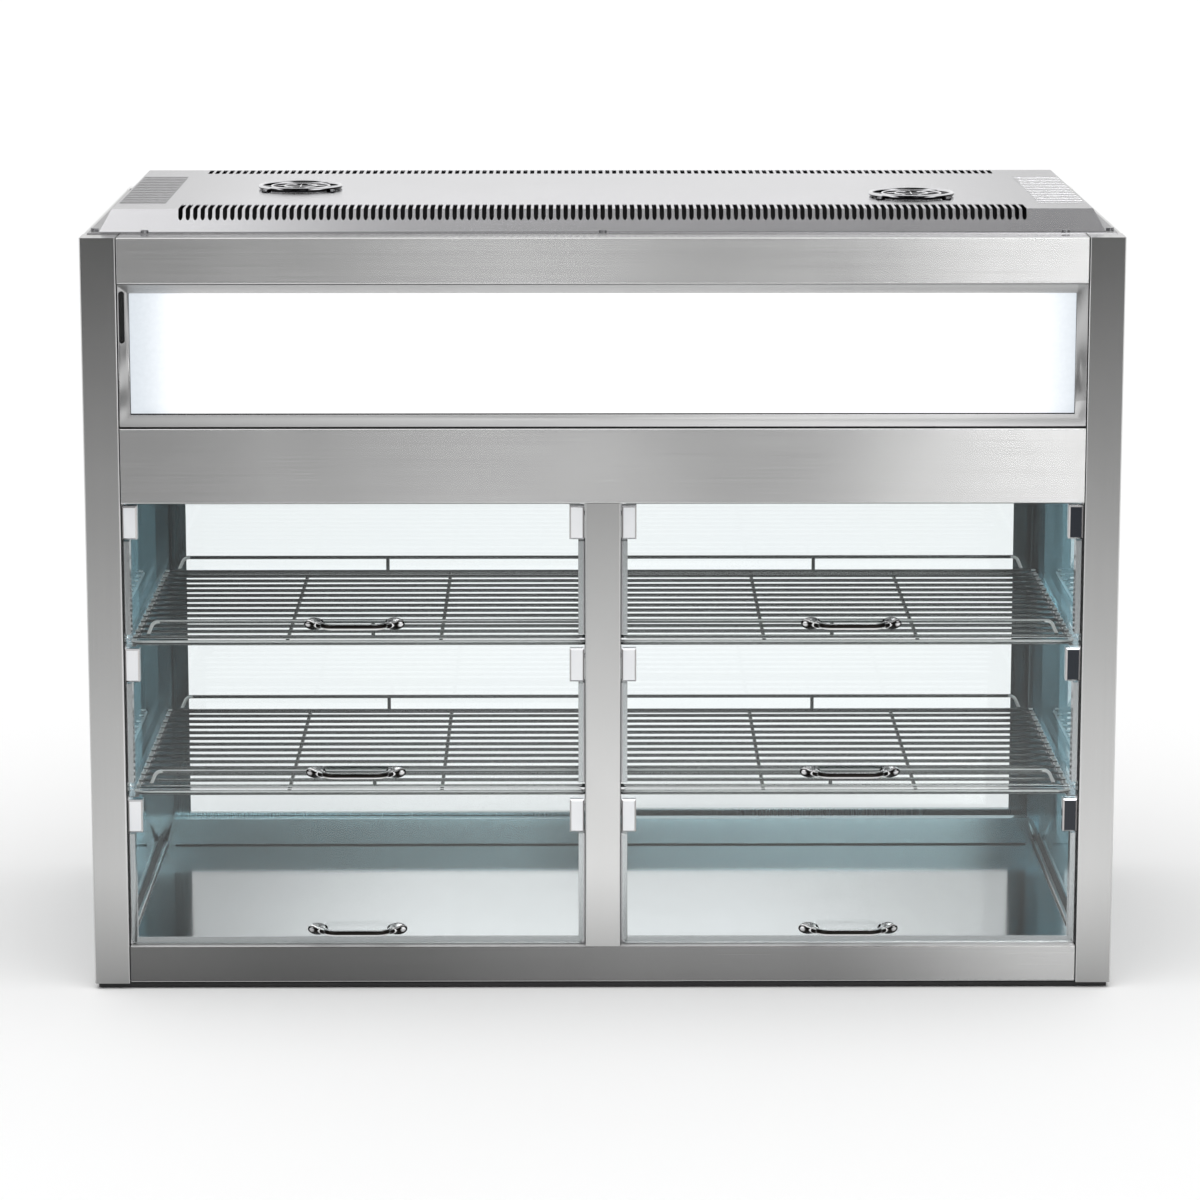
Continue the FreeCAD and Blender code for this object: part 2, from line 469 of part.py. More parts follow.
# bow handle: bar with sloped ends that run into flared leaf feet
hb = new("PartDesign::Body", "handle")
path = sketch(hb, "handle_path", "XY_Plane")
PO, PB, PF, PS, PL = VAL["pull_out"], VAL["pull_bend"], VAL["pull_flat"], VAL["pull_start"], VAL["pull_lead"]
q = PB / math.sqrt(2)
A0, B0 = V3(-PF - q, -PO + PB - q, 0), V3(-PF, -PO, 0)
A1, B1 = V3(PF + q, -PO + PB - q, 0), V3(PF, -PO, 0)
path.addGeometry(Part.LineSegment(V3(-PS, -PL, 0), A0))
path.addGeometry(Part.ArcOfCircle(Part.Circle(V3(-PF, -PO + PB, 0), V3(0, 0, 1), PB), 1.25 * math.pi, 1.5 * math.pi))
path.addGeometry(Part.LineSegment(B0, B1))
path.addGeometry(Part.ArcOfCircle(Part.Circle(V3(PF, -PO + PB, 0), V3(0, 0, 1), PB), 1.5 * math.pi, 1.75 * math.pi))
path.addGeometry(Part.LineSegment(A1, V3(PS, -PL, 0)))
for a, i, b, j in ((0, 2, 1, 1), (1, 2, 2, 1), (2, 2, 3, 1), (3, 2, 4, 1)):
    path.addConstraint(C("Tangent", a, i, b, j))
path.addConstraint(C("Symmetric", 0, 1, 4, 2, -2))
path.addConstraint(C("Symmetric", 2, 1, 2, 2, -2))
for kind, args, e, start in (("Radius", (1,), "pull_bend", PB), ("Radius", (3,), "pull_bend", PB), ("DistanceX", (2, 1, 2, 2), "2*pull_flat", 2 * PF),
                             ("DistanceY", (2, 1, -1, 1), "pull_out", PO), ("DistanceX", (0, 1, -1, 1), "pull_start", PS), ("DistanceY", (0, 1, -1, 1), "pull_lead", PL)):
    i = path.addConstraint(C(kind, *args, start))
    path.setExpression("Constraints[%d]" % i, X(e))
doc.recompute()
prof = hb.newObject("Sketcher::SketchObject", "handle_section")
prof.AttachmentSupport = [(path, "Edge1")]
prof.MapMode = "NormalToEdge"
prof.MapPathParameter = 0.0
n = prof.addGeometry(Part.Circle(V3(0, 0, 0), V3(0, 0, 1), 3))
prof.addConstraint(C("Coincident", n, 3, -1, 1))
i = prof.addConstraint(C("Radius", n, 3.0))
prof.setExpression("Constraints[%d]" % i, X("pull_rad"))
doc.recompute()
pipe = hb.newObject("PartDesign::AdditivePipe", "handle_bar")
pipe.Profile = prof
pipe.Spine = (path, ["Edge%d" % (i + 1) for i in range(5)])
doc.recompute()


def leaf_foot(side):
    """Flared foot from a leaf on the glass to the sloped bar end, lofted through ovals that lean inwards."""
    wires = []
    for y, in_by, s, t in ((0, 0.0, 1.0, 1.0), (1.4, 0.2, 0.97, 0.96), (4.5, 1.7, 0.77, 0.81), (9.0, 5.3, 0.58, 0.63), (12.5, 8.4, 0.47, 0.53)):
        x = side * (VAL["foot_mid"] - in_by)
        a, b = max(VAL["foot_a"] * s, VAL["pull_rad"] * 1.4142 + 0.4), max(VAL["foot_b"] * t, VAL["pull_rad"] + 0.3)
        e = Part.Ellipse(V3(x + a, -y, 0), V3(x, -y, b), V3(x, -y, 0)).toShape()
        wires.append(Part.Wire([e]))
    return Part.makeLoft(wires, True, False)


handle_feet = []
for side in (-1, 1):
    o = new("Part::Feature", "handle_foot")
    o.Shape = leaf_foot(side)
    handle_feet.append(o)
handle = fuse(hb, *handle_feet)
screws = []
for sx in ("-1", "1"):
    s = fuse(cyl("pull_screw", "pull_hole - 0.2", "glass_t + 0.5", "y", sx + "*pull_half", "0", "0"), cyl("pull_cap", "6", "2.6", "y", sx + "*pull_half", "glass_t", "0"))
    screws.append(s)
handle_set = comp("handle_set", handle, *screws)

DOORS = []
for row, rname in (("up", "upper"), ("me", "middle"), ("lo", "lower")):
    for sx, sname in (("-1", "left"), ("1", "right")):
        base = "%s_%s_door" % (rname, sname)
        for label, lib, y, z in (("glass", [glass[row]], "0", row + "_lo"), ("clamps", [pair_l, pair_r], "0", row + "_clamp - clamp_h"), ("handle", [handle] + screws, "-glass_y - glass_t", row + "_lo + pull_up")):
            c = comp(base + "_" + label, *lib)
            c.setExpression("Placement.Base.x", X("%s*(%s)" % (sx, BAY)))
            c.setExpression("Placement.Base.y", X(y))
            c.setExpression("Placement.Base.z", X(z))
            node(base + "_" + label, c)

pins = []
for z in PINS.values():
    for x0 in ("-half_w + post_w", "mid_half"):
        p = fuse(cyl("pin", "pin_rad", "7 + clamp_w - 4", "x", "%s - 7" % x0, AXIS_Y, z), cyl("collar", "4", "0.9", "x", x0, AXIS_Y, z))
        pins += [p, mirror(p)]
node("hinge_pins", *pins)

# ---------------------------------------------------------------- racks
def rod(p, q, r):
    d = q.sub(p)
    return Part.makeCylinder(r, d.Length, p, d)


def bent(pts, r, bend, closed=False):
    """Wire of radius r along pts with rounded corners."""
    edges, n = [], len(pts)
    corner = {}
    for i in range(n if closed else n - 2):
        j = i if closed else i + 1
        a, b, c = pts[j - 1], pts[j], pts[(j + 1) % n]
        u, w = a.sub(b).normalize(), c.sub(b).normalize()
        t = bend / math.tan(u.getAngle(w) / 2)
        mid = b.add(u.add(w).normalize().multiply(bend / math.sin(u.getAngle(w) / 2) - bend))
        corner[j] = (b.add(V3(u).multiply(t)), mid, b.add(V3(w).multiply(t)))
    order = list(range(n)) + ([0] if closed else [])
    for i in range(len(order) - 1):
        s, e = order[i], order[i + 1]
        p = corner[s][2] if s in corner else pts[s]
        q = corner[e][0] if e in corner else pts[e]
        edges.append(Part.LineSegment(p, q).toShape())
        if e in corner:
            edges.append(Part.Arc(*corner[e]).toShape())
    wire = Part.Wire(edges)
    start = edges[0].Vertexes[0].Point
    tan = edges[0].tangentAt(edges[0].FirstParameter)
    ring = Part.Wire([Part.Circle(start, tan, r).toShape()])
    return wire.makePipeShell([ring], True, True)


def rack_grid():
    """Flat rack: frame wire, wires along the length laid on it, two cross wires under them."""
    v = VAL
    r, w = v["rack_rad"], v["wire_rad"]
    x0, x1, y0, y1 = v["rack_xi"] + r, v["rack_xo"] - r, -v["rack_yf"] + r, v["rack_yb"] - r
    frame = bent([V3((x0 + x1) / 2, y0, 0), V3(x1, y0, 0), V3(x1, y1, 0), V3(x0, y1, 0), V3(x0, y0, 0), V3((x0 + x1) / 2, y0, 0)], r, v["rack_bend"])
    parts = []
    n = 14
    for i in range(n):
        y = y0 + 18 + (y1 - y0 - 36) * i / (n - 1)
        parts.append(rod(V3(x0 - 1, y, r + w - 1.2), V3(x1 + 1, y, r + w - 1.2), w))
    for t in (1 / 3.0, 2 / 3.0):
        x = x0 + (x1 - x0) * t
        parts.append(rod(V3(x, y0, -0.4), V3(x, y1, -0.4), 2.8))
    return frame.multiFuse(parts)


def rack_rail(y):
    """Raised rail: one bent wire standing on the rack, square at the inner end, with a stub under its middle."""
    v = VAL
    x0, x1 = v["rack_xi"] + v["rail_mid"], v["rack_xo"] - v["rail_in"]
    z0, z1 = v["rack_rad"] + 2 * v["wire_rad"] - 1.1, v["rail_up"]
    wire = bent([V3(x0, y, z0), V3(x0, y, z1), V3(x1, y, z1), V3(x1 + 8, y, z0)], v["rail_rad"], v["rail_bend"])
    return wire.fuse(rod(V3((x0 + x1) / 2, y, z0), V3((x0 + x1) / 2, y, z1), v["rail_rad"]))


grid = new("Part::Feature", "rack_grid")
grid.Shape = rack_grid()
rails = []
v = VAL
n = 14
step = (v["rack_yb"] + v["rack_yf"] - 2 * v["rack_rad"] - 36) / (n - 1)
for y in (-v["rack_yf"] + v["rack_rad"] + 18 + 0.0 * step, v["rack_yb"] - v["rack_rad"] - 18):
    o = new("Part::Feature", "rack_rail")
    o.Shape = rack_rail(y)
    rails.append(o)
for lvl, e in (("upper", "rack_up"), ("lower", "rack_lo")):
    flat = [grid] + rails
    k2 = comp(lvl + "_racks", *(flat + [mirror(q) for q in flat]))
    k2.setExpression("Placement.Base.z", X(e))
    node(lvl + "_racks", k2)
runners = []
for e in ("rack_up", "rack_lo"):
    top = "%s - rack_rad - 0.1" % e
    a = fuse(box("run_flat", "-side_xi + 5", "-side_xi + 22", "-half_d + post_d", "trim_y", "%s - 1.5" % top, top),
             box("run_leg", "-side_xi + 5", "-side_xi + 6.5", "-half_d + post_d", "trim_y", "%s - 15" % top, top))
    b = fuse(box("run_mid", "-20", "20", "-half_d + post_d", "rack_yb + 3", "%s - 1.5" % top, top),
             box("run_web", "-1", "1", "-half_d + post_d", "rack_yb + 3", "%s - 18" % top, top))
    runners += [a, mirror(a), b]
node("rack_runners", *runners)

# ---------------------------------------------------------------- rear sliding doors
for side, y, sgn in (("left", "slide_l", -1), ("right", "slide_r", 1)):
    xo0, xo1 = ("-slide_xo", "slide_xm") if sgn < 0 else ("-slide_xm", "slide_xo")
    xi0, xi1 = xo0 + " + stile_w", xo1 + " - stile_w"
    fr = mitre_frame("slide_" + side, xo0, xi0, xi1, xo1, "slide_lo", "slide_lo + stile_w + 3", "slide_hi - stile_w", "slide_hi", y, y + " + slide_t", y, y + " + slide_t")
    px = "-slide_xo + stile_w/2" if sgn < 0 else "slide_xo - stile_w/2"
    grip = box("grip", "%s - 7" % px, "%s + 7" % px, y + " + slide_t - 6", y + " + slide_t + 1", "330", "430")
    i = 2 if sgn < 0 else 3
    fr[i] = cut(fr[i], grip)
    node("rear_%s_door_frame" % side, *fr)
    b = new("PartDesign::Body", "slide_pane_" + side)
    sk = sketch(b, "slide_pane_profile_" + side, "XZ_Plane")
    rect(sk, "slide_xo + slide_xm - 2*stile_w", "slide_hi - slide_lo - 2*stile_w - 3")
    pad(b, sk, "slide_pane_pad_" + side, "pane_t")
    for ax, e in (("x", xi0), ("y", y + " + slide_t/2 + pane_t/2"), ("z", "slide_lo + stile_w + 3")):
        b.setExpression("Placement.Base." + ax, X(e))
    node("rear_%s_door_glass" % side, b)

# ---------------------------------------------------------------- ventilation cover
def frustum(name, bx, by, tx, ty, z0, z1):
    o = new("Part::Wedge", name)
    for prop, e in (("Xmin", "-(%s)" % bx), ("Xmax", bx), ("Zmin", "-(%s)" % by), ("Zmax", by), ("X2min", "-(%s)" % tx), ("X2max", tx), ("Z2min", "-(%s)" % ty), ("Z2max", ty), ("Ymin", z0), ("Ymax", z1)):
        o.setExpression(prop, X(e))
    o.Placement = FreeCAD.Placement(V3(0, 0, 0), FreeCAD.Rotation(V3(1, 0, 0), 90))
    return o


shell = cut(frustum("cover", "cov_x", "cov_y", "cov_fx", "cov_fy", "post_top", "cov_z"),
            frustum("cover_in", "cov_x - cov_t + 0.6", "cov_y - cov_t + 0.6", "cov_fx - cov_t", "cov_fy - cov_t", "post_top - 1", "cov_z - cov_t"))
flange = cut(box("flange", "-cov_x - flange", "cov_x + flange", "-cov_y - flange", "cov_y + flange", "post_top", "post_top + cov_t"),
             box("flange_in", "-cov_x + 2", "cov_x - 2", "-cov_y + 2", "cov_y - 2", "post_top - 1", "post_top + cov_t + 1"))


def louvres():
    """Pressed louvres at both ends of the cover: low flat-topped ridges across the flat."""
    out = []
    v = VAL
    z = v["cov_z"] - 0.5
    for s in (-1, 1):
        for i in range(int(v["vent_n"])):
            y = -v["vent_yf"] + i * v["vent_pitch"]
            a, b = s * v["vent_xi"], s * v["vent_xo"]
            if a > b:
                a, b = b, a
            tri = Part.makePolygon([V3(a, y, z), V3(a, y + 12.3, z), V3(a, y + 12, z + 1.4), V3(a, y + 0.3, z + 1.4), V3(a, y, z)])
            out.append(Part.Face(tri).extrude(V3(b - a, 0, 0)))
    return Part.makeCompound(out)


def slots():
    """Rows of rounded slots over the front and rear folds, and the fan openings."""
    v = VAL
    out = []
    n, p, w = int(v["slot_n"]), v["slot_pitch"], v["slot_w"] / 2
    z0, z1 = v["post_top"] + 8, v["cov_z"] + 5
    for s in (-1, 1):
        y0, y1 = (-v["slot_out"], -v["slot_in"]) if s < 0 else (v["slot_in"], v["slot_rear"])
        for i in range(n):
            x = (i - (n - 1) / 2.0) * p
            a, b = y0 + w, y1 - w
            wire = Part.Wire([Part.LineSegment(V3(x - w, a, z0), V3(x - w, b, z0)).toShape(), Part.Arc(V3(x - w, b, z0), V3(x, b + w, z0), V3(x + w, b, z0)).toShape(),
                              Part.LineSegment(V3(x + w, b, z0), V3(x + w, a, z0)).toShape(), Part.Arc(V3(x + w, a, z0), V3(x, a - w, z0), V3(x - w, a, z0)).toShape()])
            out.append(Part.Face(wire).extrude(V3(0, 0, z1 - z0)))
    for x, y in ((-v["fan_lx"], -v["fan_ly"]), (v["fan_rx"], -v["fan_ry"])):
        out.append(Part.makeCylinder(v["fan_bore"] - 1, 20, V3(x, y, v["cov_z"] - 10)))
    return Part.makeCompound(out)


ridge = new("Part::Feature", "cover_louvres")
ridge.Shape = louvres()
tool = new("Part::Feature", "cover_slots")
tool.Shape = slots()
doc.recompute()
node("top_cover", cut(fuse(shell, flange, ridge), tool))

FANS = (("left", "-fan_lx", "-fan_ly"), ("right", "fan_rx", "-fan_ry"))
housings, guards = [], []
FT = "cov_z - cov_t - 0.1"
for side, fx, fy in FANS:
    fz = "%s - fan_h" % FT
    h = cut(fillet(box("fan_case", "%s - fan_half" % fx, "%s + fan_half" % fx, "%s - fan_half" % fy, "%s + fan_half" % fy, fz, FT), "4", along("z")),
            cyl("fan_hole", "fan_bore", "fan_h + 2", "z", fx, fy, "%s - 1" % fz))
    motor = cyl("fan_motor", "hub_r + 1", "4", "z", fx, fy, fz)
    arms = [box("fan_arm", "%s - 4" % fx, "%s + 4" % fx, "%s - fan_bore - 1" % fy, "%s + fan_bore + 1" % fy, fz, "%s + 3.5" % fz),
            box("fan_arm", "%s - fan_bore - 1" % fx, "%s + fan_bore + 1" % fx, "%s - 4" % fy, "%s + 4" % fy, fz, "%s + 3.5" % fz)]
    shaft = cyl("fan_shaft", "3", "16", "z", fx, fy, fz)
    housings.append(fuse(h, motor, shaft, *arms))
    gz = "cov_z + guard_up - guard_wire - 1.2"
    ring = [torus("rim", "guard_r", "rim_rad", fx, fy, "cov_z + guard_up - rim_rad")] + [torus("ring", "guard_r*%s" % t, "guard_wire - 0.2", fx, fy, gz) for t in ("0.72", "0.40")]
    sp = []
    for a in (0, 90):
        c = cyl("spoke", "guard_wire - 0.2", "2*guard_r", "x", fx, fy, "%s - 0.8" % gz)
        c.Placement = FreeCAD.Placement(V3(0, 0, 0), FreeCAD.Rotation(V3(0, 0, 1), a) * ROT["x"])
        c.setExpression("Placement.Base.x", X("%s - guard_r" % fx if a == 0 else fx))
        c.setExpression("Placement.Base.y", X(fy if a == 0 else "%s - guard_r" % fy))
        sp.append(c)
    ears = []
    for ex in ("-1", "1"):
        for ey in ("-1", "1"):
            q = "guard_r*0.7071"
            ears.append(cyl("ear_pad", "6.5", "1.6", "z", "%s + %s*(%s + 5.6)" % (fx, ex, q), "%s + %s*(%s + 5.6)" % (fy, ey, q), "cov_z + 0.05"))
    guards.append(fuse(*(ring + sp + ears)))
node("fan_housings", *housings)
node("fan_guards", *guards)

# fan rotor: hub with twisted blades in a polar pattern
for side, fx, fy in FANS:
    b = new("PartDesign::Body", "rotor_" + side)
    sk = sketch(b, "rotor_hub_" + side, "XY_Plane")
    n = sk.addGeometry(Part.Circle(V3(0, 0, 0), V3(0, 0, 1), 20))
    sk.addConstraint(C("Coincident", n, 3, -1, 1))
    i = sk.addConstraint(C("Radius", n, 20.0))
    sk.setExpression("Constraints[%d]" % i, X("hub_r"))
    n = sk.addGeometry(Part.Circle(V3(0, 0, 0), V3(0, 0, 1), 3))
    sk.addConstraint(C("Coincident", n, 3, -1, 1))
    i = sk.addConstraint(C("Radius", n, 3.05))
    pad(b, sk, "rotor_hub_pad_" + side, "22")
    arms = []
    for i in range(int(VAL["blade_n"])):
        c = new("Part::Box", "blade")
        c.setExpression("Length", X("rotor_r - hub_r + 1.5"))
        c.Width = 24
        c.Height = 1.8
        spin = FreeCAD.Rotation(V3(0, 0, 1), 360.0 * i / VAL["blade_n"])
        pitch = FreeCAD.Rotation(V3(1, 0, 0), 38)
        off = spin.multVec(V3(VAL["hub_r"] - 1.5, 0, 11).add(pitch.multVec(V3(0, -12, -0.9))))
        c.Placement = FreeCAD.Placement(off, spin * pitch)
        arms.append(c)
    trim = cyl("rotor_trim", "rotor_r", "40", "z", "0", "0", "-9")
    com = new("Part::MultiCommon", "rotor_common")
    com.Shapes = [fuse(b, *arms), trim]
    c = comp("fan_rotor_" + side, com)
    for ax, e in (("x", fx), ("y", fy), ("z", "%s - fan_h + 7" % FT)):
        c.setExpression("Placement.Base." + ax, X(e))
    node("fan_rotor_" + side, c)

heads = []
for x, y in (("-617", "-cov_y - 7"), ("0", "-cov_y - 7"), ("624", "-cov_y - 7"), ("-617", "cov_y + 7"), ("0", "cov_y + 7"), ("624", "cov_y + 7"),
             ("-cov_x - 7", "-268"), ("cov_x + 7", "-268"), ("-cov_x - 7", "268"), ("cov_x + 7", "268")):
    s = cyl("screw", "5.4", "3.4", "z", x, y, "post_top + cov_t + 0.02")
    heads.append(s)
for side, fx, fy in FANS:
    for ex in ("-1", "1"):
        for ey in ("-1", "1"):
            q = "guard_r*0.7071 + 6.6"
            heads.append(cyl("guard_screw", "3.4", "2.4", "z", "%s + %s*(%s)" % (fx, ex, q), "%s + %s*(%s)" % (fy, ey, q), "cov_z + 1.67"))
node("cover_screws", *heads)

# ---------------------------------------------------------------- heaters and supply
def hairpin(x0, x1):
    v = VAL
    r = v["heat_rad"]
    ys = [-210, -90, 30, 150]
    pts = []
    for i, y in enumerate(ys):
        a, b = (x0, x1) if i % 2 == 0 else (x1, x0)
        pts += [V3(a, y, 0), V3(b, y, 0)]
    return bent(pts, r, 40)


heats = []
for a, b in ((-610, -60), (610, 60)):
    o = new("Part::Feature", "heater")
    o.Shape = hairpin(a, b)
    o.setExpression("Placement.Base.z", X("heat_z"))
    heats.append(o)
node("heating_elements", *heats)
node("power_supply", fillet(box("supply", "-110", "110", "40", "150", "ceil_z + 1.6", "ceil_z + 62"), "3", along("z")))

# ---------------------------------------------------------------- rear operator panel
PZ0, PZ1 = "panel_z", "post_top - 0.2"
o = box("panel", RX0, RX1, "half_d - 40", "half_d - 0.4", PZ0, PZ1)
o = fillet(o, "1.6", lambda p, q: along("x")(p, q) and p.y > VAL["half_d"] - 2)
hollow = box("panel_in", "-half_w + post_w + seam - 1", "half_w - post_w - seam + 1", "half_d - 41", "half_d - 1.9", PZ0 + " + 1.5", PZ1 + " - 1.5")
holes = [cyl("gland_hole", "10.2", "20", "y", "gland_x", "half_d - 10", "gland_z"), cyl("shaft_hole", "4", "20", "y", "-knob_x", "half_d - 10", "ctl_z")]
for sw in ("sw_a",):
    holes.append(box("sw_hole", "-%s - 10.1" % sw, "-%s + 10.1" % sw, "half_d - 10", "half_d + 10", "ctl_z - 15.1", "ctl_z + 15.1"))
vents = [box("panel_vent", "%d" % x, "%d" % (x + 5), "half_d - 10", "half_d + 5", "ctl_z - 45", "ctl_z + 45") for x in range(180, 421, 15)]
node("rear_panel", cut(o, hollow, *(holes + vents)))
cases = []
for sw in ("sw_a",):
    body = box("sw_case", "-%s - 10" % sw, "-%s + 10" % sw, "half_d - 28", "half_d - 0.4", "ctl_z - 15", "ctl_z + 15")
    lip = box("sw_lip", "-%s - 12" % sw, "-%s + 12" % sw, "half_d - 0.35", "half_d + 1.8", "ctl_z - 17.5", "ctl_z + 17.5")
    well = fuse(cyl("sw_well", "rock_r + 0.4", "rock_w + 0.8", "x", "-%s - rock_w/2 - 0.4" % sw, "rock_y", "ctl_z"),
                box("sw_open", "-%s - rock_w/2 - 0.4" % sw, "-%s + rock_w/2 + 0.4" % sw, "rock_y", "half_d + 10", "ctl_z - rock_r - 0.4", "ctl_z + rock_r + 0.4"))
    cases.append(cut(fuse(body, lip), well))
th = cut(box("therm", "-knob_x - 20", "-knob_x + 20", "half_d - 40", "half_d - 2.2", "ctl_z - 22", "ctl_z + 22"), cyl("therm_bore", "3.06", "30", "y", "-knob_x", "half_d - 22", "ctl_z"))
node("control_bodies", *(cases + [th]))
for label, sw in (("main_switch", "sw_a"),):
    drum = cyl("rocker", "rock_r", "rock_w", "x", "-%s - rock_w/2" % sw, "rock_y", "ctl_z")
    flats = []
    for s in (1, -1):
        f = new("Part::Box", "flat")
        f.Length, f.Width, f.Height = 40, 20, 30
        rot = FreeCAD.Rotation(V3(1, 0, 0), 14.0 * s)
        f.Placement = FreeCAD.Placement(rot.multVec(V3(-20, 9.2, 0 if s > 0 else -30)), rot)
        flats.append(f)
    c0 = comp("rock_tool", *flats)
    c0.Placement = FreeCAD.Placement(V3(0, 0, 0), FreeCAD.Rotation(V3(1, 0, 0), -10))
    for ax, e in (("x", "-" + sw), ("y", "rock_y"), ("z", "ctl_z")):
        c0.setExpression("Placement.Base." + ax, X(e))
    node(label, cut(drum, c0))
kb = new("PartDesign::Body", "knob")
sk = sketch(kb, "knob_profile", "XY_Plane")
kp = [(0, 0), (19, 0), (19, 3), (16.5, 5), (15.5, 17), (14, 18.6), (0, 18.6)]
for i in range(len(kp)):
    a, b = kp[i], kp[(i + 1) % len(kp)]
    sk.addGeometry(Part.LineSegment(V3(a[0], a[1], 0), V3(b[0], b[1], 0)))
for i in range(len(kp)):
    sk.addConstraint(C("Coincident", i, 2, (i + 1) % len(kp), 1))
rv = kb.newObject("PartDesign::Revolution", "knob_turn")
rv.Profile = sk
rv.ReferenceAxis = (sk, ["V_Axis"])
rv.Angle = 360
doc.recompute()
mark = box("knob_mark", "-0.9", "0.9", "17.6", "20", "2", "15")
axle = cyl("knob_axle", "3", "22.5", "y", "0", "-20", "0")
grips = [cyl("knob_grip", "1.6", "15", "y", "0", "4.5", "0") for i in range(12)]
for i, gobj in enumerate(grips):
    a = 2 * math.pi * (i + 0.5) / 12
    gobj.setExpression("Placement.Base.x", None)
    gobj.setExpression("Placement.Base.z", None)
    gobj.Placement = FreeCAD.Placement(V3(17.1 * math.sin(a), 4.5, 17.1 * math.cos(a)), ROT["y"])
c = comp("knob_at", fuse(cut(kb, mark, *grips), axle))
for ax, e in (("x", "-knob_x"), ("y", "half_d + 0.6"), ("z", "ctl_z")):
    c.setExpression("Placement.Base." + ax, X(e))
node("thermostat_knob", c)
nut = new("Part::Prism", "gland_hex")
nut.Polygon = 6
nut.Circumradius = 15
nut.Height = 7
nut.Placement = FreeCAD.Placement(V3(0, 0, 0), ROT["y"])
for ax, e in (("x", "gland_x"), ("y", "half_d - 0.3"), ("z", "gland_z")):
    nut.setExpression("Placement.Base." + ax, X(e))
gl = fuse(nut, cyl("gland_barrel", "10", "22", "y", "gland_x", "half_d - 14", "gland_z"), cyl("gland_cap", "12", "13.7", "y", "gland_x", "half_d + 6.7", "gland_z"),
          cyl("gland_nut", "14", "5", "y", "gland_x", "half_d - 7", "gland_z"))
node("cable_gland", cut(gl, cyl("gland_way", "gland_bore", "60", "y", "gland_x", "half_d - 20", "gland_z")))

# ---------------------------------------------------------------- check and write
doc.recompute()
bad = [o.Name for o in doc.Objects if "Invalid" in o.State or "Error" in o.State]
if bad:
    raise RuntimeError("objects in error: %s" % bad)
os.makedirs("parts", exist_ok=True)
box_all = None
for label, o in NODES:
    s = o.Shape
    if s.isNull() or not s.isValid():
        raise RuntimeError("bad shape: " + label)
    if not s.Solids:
        raise RuntimeError("no solid: " + label)
    s.exportStep("parts/%s.step" % label)
    bb = s.BoundBox
    print("%-28s solids %3d vol %12.1f  x %8.2f %8.2f  y %8.2f %8.2f  z %8.2f %8.2f" % (label, len(s.Solids), s.Volume, bb.XMin, bb.XMax, bb.YMin, bb.YMax, bb.ZMin, bb.ZMax))
    box_all = FreeCAD.BoundBox(bb) if box_all is None else box_all
    box_all.add(bb)
print("nodes", len(NODES), box_all)
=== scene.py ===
import math

import bmesh
import bpy
from mathutils import Matrix, Vector


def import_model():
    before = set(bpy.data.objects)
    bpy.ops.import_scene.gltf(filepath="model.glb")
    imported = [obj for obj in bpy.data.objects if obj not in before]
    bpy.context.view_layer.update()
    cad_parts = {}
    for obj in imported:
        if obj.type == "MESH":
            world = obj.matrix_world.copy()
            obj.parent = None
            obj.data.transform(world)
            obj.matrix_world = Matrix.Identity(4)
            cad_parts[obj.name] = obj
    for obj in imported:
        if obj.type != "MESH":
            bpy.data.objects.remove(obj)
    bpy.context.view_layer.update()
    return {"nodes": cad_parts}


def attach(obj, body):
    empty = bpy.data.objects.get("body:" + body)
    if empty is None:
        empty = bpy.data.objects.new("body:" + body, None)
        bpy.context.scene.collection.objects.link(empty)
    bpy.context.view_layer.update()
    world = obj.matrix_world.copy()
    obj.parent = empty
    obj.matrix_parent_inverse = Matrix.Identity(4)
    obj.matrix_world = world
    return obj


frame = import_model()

NODES = frame["nodes"]
SCENE = bpy.context.scene


